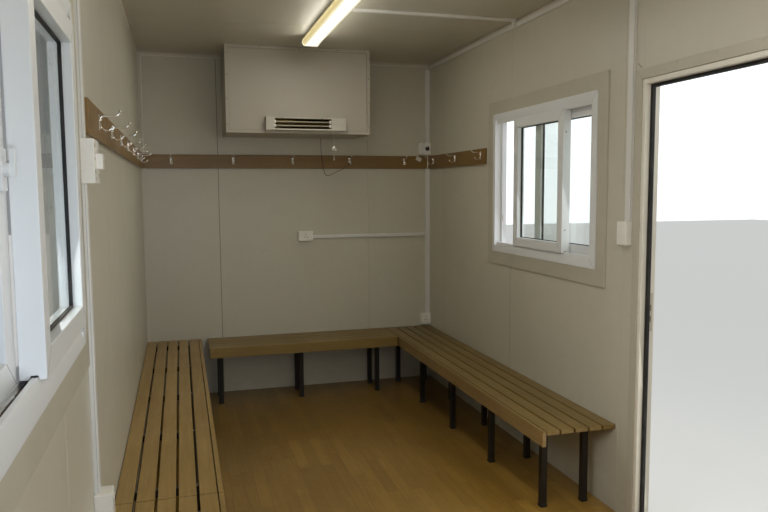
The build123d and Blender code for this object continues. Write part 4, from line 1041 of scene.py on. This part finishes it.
def dress_hooks():
    """Rounded rails and chromed wire hooks, each on a small plate with two screws."""
    rails = softened_node("hook_rails", 0.004, 3)
    rails.data.materials.append(finishes["rail_along"])
    for face in rails.data.polygons:
        if face.center.y < INNER_Y - 0.02:
            face.material_index = 1
    hooks, screws = bmesh.new(), bmesh.new()
    one_hook = draw_hook()
    for low, high in solids("coat_hooks"):
        middle = (low + high) / 2
        if high.y - low.y > high.x - low.x:
            x, y, normal = middle.x, high.y, (0, -1, 0)
        elif middle.x < 0:
            x, y, normal = low.x, middle.y, (1, 0, 0)
        else:
            x, y, normal = high.x, middle.y, (-1, 0, 0)
        place = on_wall((x, y, low.z + 0.0318), normal)
        mesh = one_hook.copy()
        mesh.transform(place)
        hooks.from_mesh(mesh)
        bpy.data.meshes.remove(mesh)
        for up in (-0.0205, 0.0205):
            add_disc(screws, place @ Vector((0, up, 0.0032)), normal, 0.0034, 0.0014, 0.6, 14)
    bpy.data.meshes.remove(one_hook)
    chrome = show_bmesh("wire_hooks", hooks, "chrome", smooth_below=50)
    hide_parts("coat_hooks")
    show_bmesh("hook_screws", screws, "steel")


# Service cover and heater

COVER_RIM = 0.024
COVER_SCREW_HEIGHTS = (2.24, 2.42, 2.59, 2.74)
COVER_SCREW_TOPS = (-0.30, -0.015, 0.27)
HEATER_SCREWS = (-0.155, -0.010, 0.135)
BELL = ((0, 0.036), (0.0045, 0.0358), (0.0055, 0.0345), (0.007, 0.030), (0.0125, 0.0255), (0.0175, 0.018),
        (0.0205, 0.008), (0.0218, 0.002), (0.0218, 0), (0.0202, 0.0002), (0.0185, 0.006), (0.0155, 0.015),
        (0.0105, 0.022), (0, 0.024))
TOGGLE = ((0, 0), (0.0042, 0.0002), (0.0058, 0.002), (0.006, 0.006), (0.005, 0.014), (0.0034, 0.022),
          (0.003, 0.0255), (0, 0.026))


def dress_cover():
    """The service cover with its screws, corner joints and the line inside its rim."""
    softened_node("service_cover", 0.0022, 3)
    low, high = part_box("service_cover")
    rim, line = COVER_RIM, 0.0016
    spots = [(x, z) for x in (low.x + rim / 2, high.x - rim / 2) for z in COVER_SCREW_HEIGHTS]
    spots += [(x, high.z - rim / 2) for x in COVER_SCREW_TOPS]
    places = [((x, low.y, z), (0, -1, 0)) for x, z in spots]
    drive_screws("cover_screws", places, 0.0042, "screw_dark", height=0.0012)
    bm = bmesh.new()
    for x, inward in ((low.x, 1), (high.x, -1)):
        for z, up in ((low.z, 1), (high.z, -1)):
            add_strip(bm, (x, low.y, z), (x + inward * rim, low.y, z + up * rim), (0, -1, 0), 0.001, LINE)
    inset = rim - line
    add_ring(bm, (low.x + inset, low.y - 0.0002, low.z + inset),
             (high.x - inset, low.y + 0.004, high.z - inset), line, axis=1)
    show_bmesh("cover_mitres", bm, "seam")


def dress_heater():
    """Heater housing with its screws and bar holders, and the lathed bell and toggle."""
    softened_node("heater_housing", 0.0015, 3)
    low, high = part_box("heater_housing")
    screws = [((x, low.y, high.z - 0.006), (0, -1, 0)) for x in HEATER_SCREWS]
    drive_screws("heater_screws", screws, 0.0036, "screw_dark", height=0.0012)
    holders = bmesh.new()
    bar_low, bar_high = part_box("heater_bars")
    reach = Vector((0, 0.009, 0.010))
    for x0, x1 in ((bar_low.x, bar_low.x + 0.011), (bar_high.x - 0.011, bar_high.x)):
        for box_low, box_high in solids("heater_bars"):
            middle = (box_low + box_high) / 2
            box_low, box_high = middle - reach, middle + reach
            add_box(holders, (x0, *box_low.yz), (x1, *box_high.yz), 0.002)
    show_bmesh("bar_holders", holders, "cream_plastic")
    bm = bmesh.new()
    toggle, bell = sorted(solids("pull_cord_bell"), key=lambda box: box[0].z)
    x, y = (bell[0].x + bell[1].x) / 2, (bell[0].y + bell[1].y) / 2
    add_lathed(bm, BELL, (x, y, bell[0].z), (0, 0, 1), 28)
    add_lathed(bm, TOGGLE, (x, y, toggle[0].z), (0, 0, 1), 20)
    piece = show_bmesh("bell_and_toggle", bm, "bell", smooth_below=60)
    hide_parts("pull_cord_bell")
    return piece


# Electrics

RUN_JOINT = (1.382, 1.407)
TRUNK_SCREW_HEIGHT = 1.959
SOCKET_SLOTS = ((0, 0.014, 0.004, 0.009), (-0.011, -0.008, 0.008, 0.0045), (0.011, -0.008, 0.008, 0.0045))
ROCKER_LINE = ((-0.510, 1.8555), (-0.468, 1.8555))
ROCKER_DOT = (-0.500, 1.8405)
SWITCH_BOX_DEPTH = 0.041
FLAKES = ((-0.535, 1.902, 0.009), (-0.529, 1.880, 0.006), (-0.540, 1.862, 0.007), (-0.531, 1.826, 0.010),
          (-0.520, 1.806, 0.006), (-0.505, 1.900, 0.005), (-0.442, 1.815, 0.008), (-0.450, 1.900, 0.006))


def dress_electrics():
    """Trunking with lids, switch rockers, socket slots, and the isolator with its tag."""
    softened_node("cable_trunking", 0.001)
    softened_node("switch_and_socket_boxes", 0.003, 3)
    left_low, left_high, run, low_run, corner = solids("cable_trunking")
    width = left_low[1].y - left_low[0].y
    run_low = corner[1].z
    trunk_face = INNER_X - (left_low[1].x - left_low[0].x)
    boxes = solids("switch_and_socket_boxes")
    switch = boxes[-1]
    lids = bmesh.new()
    for low, high in (left_low, left_high):
        add_lid(lids, low, high, 0, 1)
    add_lid(lids, (trunk_face, switch[0].y, run[0].z), (INNER_X, switch[0].y + width, run_low), 0, -1)
    add_lid(lids, (trunk_face, run[0].y, run_low), (INNER_X, run[1].y, run_low + 0.025), 0, -1)
    add_lid(lids, *corner, 1, -1)
    add_lid(lids, (corner[0].x, low_run[0].y, low_run[0].z), low_run[1], 1, -1)
    add_lid(lids, (low_run[0].x, low_run[0].y, RUN_JOINT[0]), (corner[0].x, low_run[1].y, RUN_JOINT[1]), 1,
            -1)
    show_bmesh("trunking_lids", lids, "white_plastic")
    lines = bmesh.new()
    uprights = [(-1, left_low[0].y, box[0].z, box[1].z) for box in (left_low, left_high)]
    uprights.append((1, switch[0].y, run[0].z, run_low))
    for side, y, z0, z1 in uprights:
        x = side * (trunk_face + 0.0045)
        for side_y, out in ((y, -1), (y + width, 1)):
            add_strip(lines, (x, side_y, z0 + 0.001), (x, side_y, z1 - 0.001), (0, out, 0), 0.0007, LINE)
    show_bmesh("lid_lines", lines, "seam")
    dress_boxes(*boxes)
    screw = (trunk_face, run[0].y + width / 2, TRUNK_SCREW_HEIGHT)
    drive_screws("trunk_screw", [(screw, (-1, 0, 0))], 0.0045, "dark_plastic")
    dress_isolator()


def dress_boxes(left_socket, left_switch, end_socket, low_socket, switch):
    """Lids, rockers and slots of the switches and sockets, and patches where a box has lost its skin."""
    plates, marks, flakes = bmesh.new(), bmesh.new(), bmesh.new()
    add_lid(plates, *switch, 0, -1, 0.004, 0.002, 0.0015)
    middle = (switch[0] + switch[1]) / 2
    place = on_wall((switch[0].x - 0.002, middle.y, middle.z), (-1, 0, 0))
    add_box(plates, (-0.0125, -0.0235, -0.001), (0.0125, 0.0235, 0.0025), 0.0012, 3, place)
    for box, axis, out in ((left_socket, 0, 1), (end_socket, 1, -1), (low_socket, 1, -1)):
        point = (box[0] + box[1]) / 2
        point[axis] = (box[1] if out > 0 else box[0])[axis] + out * 0.002
        add_lid(plates, *box, axis, out, 0.004, 0.002, 0.0012)
        place = on_wall(point, along(axis, out))
        # The socket slots are flat dark patches: painted shade for their openings.
        for x, y, wide, tall in SOCKET_SLOTS:
            add_box(marks, (x - wide / 2, y - tall / 2, -0.0004), (x + wide / 2, y + tall / 2, 0.0003),
                    place=place)
        add_box(plates, (-0.006, 0.026, -0.001), (0.006, 0.036, 0.003), 0.001, 2, place)
    face = left_switch[1].x
    add_disc(marks, (face, *ROCKER_DOT), (1, 0, 0), 0.0022, 0.0005)
    start, end = ((face, *spot) for spot in ROCKER_LINE)
    add_strip(marks, start, end, (1, 0, 0), 0.0012, 0.0002)
    for i, (y, z, size) in enumerate(FLAKES):
        add_flake(flakes, on_wall((SWITCH_BOX_DEPTH - INNER_X, y, z), (1, 0, 0)), size, 0.00025, i)
    show_bmesh("switch_plates", plates, "cream_plastic")
    show_bmesh("switch_marks", marks, "dark_plastic")
    show_bmesh("peeled_patches", flakes, "peeled")


RAIL_FACE = INNER_Y - 0.018
TAG_PLACE = (1.049, RAIL_FACE - 0.0045, 2.022)


def dress_isolator():
    """The isolator's plate, its round knob, and a small card that hangs askew from a tie."""
    softened_node("isolator_box", 0.005, 3)
    low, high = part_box("isolator_box")
    knob_low, knob_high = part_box("isolator_knob")
    centre = Vector(((knob_low.x + knob_high.x) / 2, low.y, (knob_low.z + knob_high.z) / 2))
    radius, depth = (knob_high.x - knob_low.x) / 2, low.y - knob_low.y
    out = (0, -1, 0)
    plates, dark, card, tie = (bmesh.new() for _ in range(4))
    add_box(plates, (low.x + 0.006, low.y - 0.0016, low.z + 0.006),
            (low.x + 0.044, low.y + 0.001, high.z - 0.006), 0.0012)
    ring = [(0, 0.0022), (radius + 0.0035, 0.0022), (radius + 0.0048, 0.0012), (radius + 0.005, -0.0005),
            (0, -0.0005)]
    add_lathed(plates, ring, centre, out, 32)
    show_bmesh("isolator_plates", plates, "white_plastic")
    knob = [(0, depth * 0.55), (radius * 0.92, depth * 0.55), (radius, depth * 0.45), (radius, 0), (0, 0)]
    add_lathed(dark, knob, centre, out, 32)
    place = on_wall(centre, out) @ Matrix.Rotation(math.radians(-12), 4, "Z")
    add_box(dark, (-0.0052, -radius * 0.98, depth * 0.3), (0.0052, radius * 0.98, depth), 0.0022, 3, place)
    piece = show_bmesh("isolator_grip", dark, "dark_plastic")
    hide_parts("isolator_knob")
    place = on_wall(TAG_PLACE, out) @ Matrix.Rotation(math.radians(-25), 4, "Z")
    add_box(card, (-0.024, -0.0165, -0.0007), (0.024, 0.0165, 0.0007), 0.0006, 1, place)
    add_box(card, (INNER_X - 0.0255, RAIL_FACE - 0.0065, RAIL_LOW),
            (INNER_X - 0.0185, RAIL_FACE, RAIL_HIGH + 0.010), 0.0012)
    show_bmesh("tag_and_strip", card, "tag")
    hole = place @ Vector((0.019, 0.011, 0))
    loop_end = Vector((TAG_PLACE[0] + 0.0175, low.y + 0.030, low.z + 0.001))
    add_wire(tie, [hole, hole + Vector((0.001, -0.006, 0.012)), loop_end], 0.0009)
    show_bmesh("tag_tie", tie, "dark_plastic")


# Trims and joints

EDGE = 0.005


def dress_trims():
    """Rolled edges in a lighter paint along the folded inside trims, a painted highlight, and shadow lines
    down the panel joints.
    """
    bright, dark = bmesh.new(), bmesh.new()
    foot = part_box("ceiling_trims")[0].z
    leg = CEILING - foot
    for side in (-1, 1):
        x0, x1 = span(side * INNER_X, -side, 0.0005, EDGE / 2)
        add_box(bright, (x0, leg - INNER_Y, foot - EDGE / 2), (x1, INNER_Y - leg, foot + EDGE / 2), 0.001, 1)
        y0, y1 = span(side * INNER_Y, -side, 0.0005, EDGE / 2)
        add_box(bright, (leg - INNER_X, y0, foot - EDGE / 2), (INNER_X - leg, y1, foot + EDGE / 2), 0.001, 1)
        for x in (leg - INNER_X, INNER_X - leg):
            add_box(bright, (x - EDGE / 2, y0, RAIL_HIGH + 0.002), (x + EDGE / 2, y1, foot - EDGE), 0.001, 1)
    for node, side in (("far_end_wall", 1), ("near_end_wall", -1)):
        x, y = solids(node)[1][0].x, side * INNER_Y
        for bottom, top in ((RAIL_HIGH + 0.002, foot - EDGE), (FLOOR + 0.001, RAIL_LOW - 0.002)):
            add_strip(dark, (x, y, bottom), (x, y, top), (0, -side, 0), 0.0053, 0.0006, 0.0006)
    y = solids("right_wall_window_side")[2][0].y
    under = solids("window_architraves")[1][0].z
    add_strip(dark, (INNER_X, y, FLOOR + 0.001), (INNER_X, y, under - 0.001), (-1, 0, 0), 0.0016, 0.0002)
    show_bmesh("trim_highlight_strips", bright, "trim_highlight")
    show_bmesh("joint_lines", dark, "seam")


# Lights and outside

def dress_lights():
    """Rounded diffusers with moulded end caps, a little larger than the diffuser's own section."""
    softened_node("light_bodies", 0.0015)
    softened_node("light_diffusers", 0.006, 3)
    bm = bmesh.new()
    verts = frame["nodes"]["light_diffusers"].data.vertices
    for low, high in solids("light_diffusers"):
        ends = [v.co for v in verts if abs(v.co.y - high.y) < MERGE]
        section = {(round(spot.x, 5), round(spot.z, 5)) for spot in ends}
        middle = (low.z + high.z) / 2
        around = sorted(section, key=lambda p: math.atan2(p[1] - middle, p[0]))
        outline = [(x * 1.02, middle + (z - middle) * 1.03) for x, z in around]
        for y, inward in ((low.y, 1), (high.y, -1)):
            add_prism(bm, outline, y - inward * 0.0015, y + inward * 0.012)
    show_bmesh("diffuser_caps", bm, "light_body")


RIVET_STEP = 0.3
ROOF_SCREWS = (-1.08, -0.54, 0, 0.54, 1.08)


def dress_outside():
    """Rivets along the outside trims and screws along the roof's ribs."""
    rivets = []
    for low, high in solids("roof_edge_covers"):
        main = 1 if high.y - low.y > 1 and high.x - low.x < 1 else 0
        out = 1 if low.x + high.x + low.y + high.y > 0 else -1
        count = round((high[main] - low[main]) / RIVET_STEP)
        for i in range(count):
            place = Vector((0, 0, low.z + 0.022))
            place[main] = low[main] + (high[main] - low[main]) * (i + 0.5) / count
            place[1 - main] = (high if out > 0 else low)[1 - main]
            rivets.append((place, along(1 - main, out)))
    for low, high in solids("corner_angles_outside"):
        sx, sy = (1 if low.x > 0 else -1), (1 if low.y > 0 else -1)
        x, y = (high if sx > 0 else low).x, (high if sy > 0 else low).y
        for i in range(9):
            z = low.z + 0.22 + i * RIVET_STEP
            rivets += [((x, y - sy * 0.045, z), (sx, 0, 0)), ((x - sx * 0.045, y, z), (0, sy, 0))]
    drive_screws("outside_rivets", rivets, 0.0045, "outside_trim", height=0.002)
    bm = node_bmesh("roof_panels", flatten=True)
    top = max(v.co.z for v in bm.verts)
    crests = sorted({round(f.calc_center_median().y, 4) for f in bm.faces
                     if f.normal.z > 0.9 and all(abs(v.co.z - top) < 0.0005 for v in f.verts)})
    bm.free()
    places = [((x, y, top), (0, 0, 1)) for y in crests for x in ROOF_SCREWS]
    drive_screws("roof_screws", places, 0.007, "steel", height=0.004)


# Cords

LEAD_TOP = (0.221, 2.920, 2.182)
LEAD_LENGTH, LEAD_WIDTH = 0.521, 0.004
LEAD_DROPS = ((0.221, 0), (0.221, 0.068), (0.226, 0.146), (0.240, 0.222), (0.244, 0.268), (0.262, 0.300),
              (0.300, 0.292), (0.345, 0.268), (0.395, 0.244), (0.438, 0.226), (0.4535, 0.200))
PULL_TOP, PULL_LENGTH, PULL_WIDTH = (0.227, 2.445, 2.202), 0.192, 0.003


def lay_cord(name, points, diameter, finish):
    """A free cord as one smooth spline through its route."""
    cord = new_curve(name, points, diameter / 2, 4, 12)
    cord.data.materials.append(finishes[finish])
    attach(cord, "cabin")
    return cord


def hang_cords(bell):
    """The dark lead under the service cover with the knot at its end, and the heater's pull cord."""
    route = [(x, LEAD_TOP[1], LEAD_TOP[2] - drop) for x, drop in LEAD_DROPS]
    lead = lay_cord("hanging_lead", route, LEAD_WIDTH, "lead")
    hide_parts("hanging_cord")
    bm = bmesh.new()
    for i, lean in enumerate((-0.5, 0.1, 0.7)):
        shift = Vector((0.0022 * (i - 1), 0, 0.0015 * (i % 2)))
        turn = Matrix.Translation(Vector(route[-1]) + shift) @ Matrix.Rotation(lean, 4, "Y")
        angles = [math.tau * k / 12 for k in range(13)]
        add_wire(bm, [turn @ Vector((0, 0.0042 * math.cos(a), 0.0042 * math.sin(a))) for a in angles], 0.0021)
    knot = show_bmesh("lead_knot", bm, "lead")
    x, y, z = PULL_TOP
    line = [(x, y, z - PULL_LENGTH * part) for part in (0, 0.5, 1)]
    pull = lay_cord("pull_cord_line", line, PULL_WIDTH, "cord")
    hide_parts("pull_cord")


# Light and stage

DAYLIGHTS = (
    ("door_daylight", (1.13, -0.36, 1.25), (0, -0.36, 1.15), 0.8, 2.0, 3.6, (1.0, 0.99, 0.96), 180),
    ("right_window_daylight", (1.12, 1.03, 1.81), (0, 1.0, 1.5), 1.1, 0.8, 1.9, (0.97, 0.99, 1.0), 180),
    ("left_window_daylight", (-0.97, -1.30, 1.81), (0.3, -1.05, 1.35), 1.1, 0.8, 7.5, (0.93, 0.97, 1.0), 100),
    ("room_fill", (0.1, -2.4, 2.4), (0.2, 1.8, 1.2), 1.4, 0.9, 8.0, (1.0, 0.97, 0.90), 180),
    ("near_end_daylight", (-0.75, -2.9, 1.45), (-1.1, -0.6, 1.4), 0.5, 0.7, 2.4, (0.70, 0.83, 1.0), 70),
)
REFLECTED = "near_end_daylight"


def area_light(name, place, aim, width, height, power, color, spread):
    """A soft lamp that the camera doesn't see. Only one of them is reflected in gloss."""
    lamp = bpy.data.lights.new(name, "AREA")
    lamp.shape = "RECTANGLE"
    lamp.size = width
    lamp.size_y = height
    lamp.energy = power
    lamp.color = color
    lamp.spread = math.radians(spread)
    holder = bpy.data.objects.new(name, lamp)
    holder.location = place
    holder.rotation_euler = (Vector(aim) - Vector(place)).to_track_quat("-Z", "Y").to_euler()
    holder.visible_camera = False
    holder.visible_glossy = name == REFLECTED
    holder.visible_transmission = False
    bpy.context.collection.objects.link(holder)


def set_the_stage():
    """A pale floor and soft daylight from the doorway's side, with fill light in the room."""
    world = bpy.data.worlds.new("pale_surround")
    world.use_nodes = True
    tree = world.node_tree
    background = tree.nodes["Background"].inputs
    fill(tree, background["Color"], (0.93, 0.97, 1.0))
    east = sides_of(tree, add_node(tree, "TexCoord").outputs["Generated"])["X"]
    fill(tree, background["Strength"], stretch(tree, east, -0.25, 0.3, 0.16, 1.4))
    bpy.context.scene.world = world
    bm = bmesh.new()
    bmesh.ops.create_grid(bm, x_segments=1, y_segments=1, size=30)
    ground, tree, shader = new_finish("pale_ground", roughness=0.9)
    fill(tree, shader["Base Color"], (0.80, 0.78, 0.74))
    floor = bpy.data.objects.new("pale_floor", mesh_from(bm, "pale_floor"))
    floor.data.materials.append(ground)
    bpy.context.collection.objects.link(floor)
    for settings in DAYLIGHTS:
        area_light(*settings)


place_camera()
for node, piece in frame["nodes"].items():
    piece.data.materials.clear()
    piece.data.materials.append(finish_for(node))
dress_windows()
dress_doorway()
dress_benches()
dress_hooks()
dress_cover()
hang_cords(dress_heater())
dress_electrics()
dress_trims()
dress_lights()
dress_outside()
set_the_stage()

settings = bpy.context.scene.view_settings
settings.view_transform = "Standard"
settings.exposure = 0.0
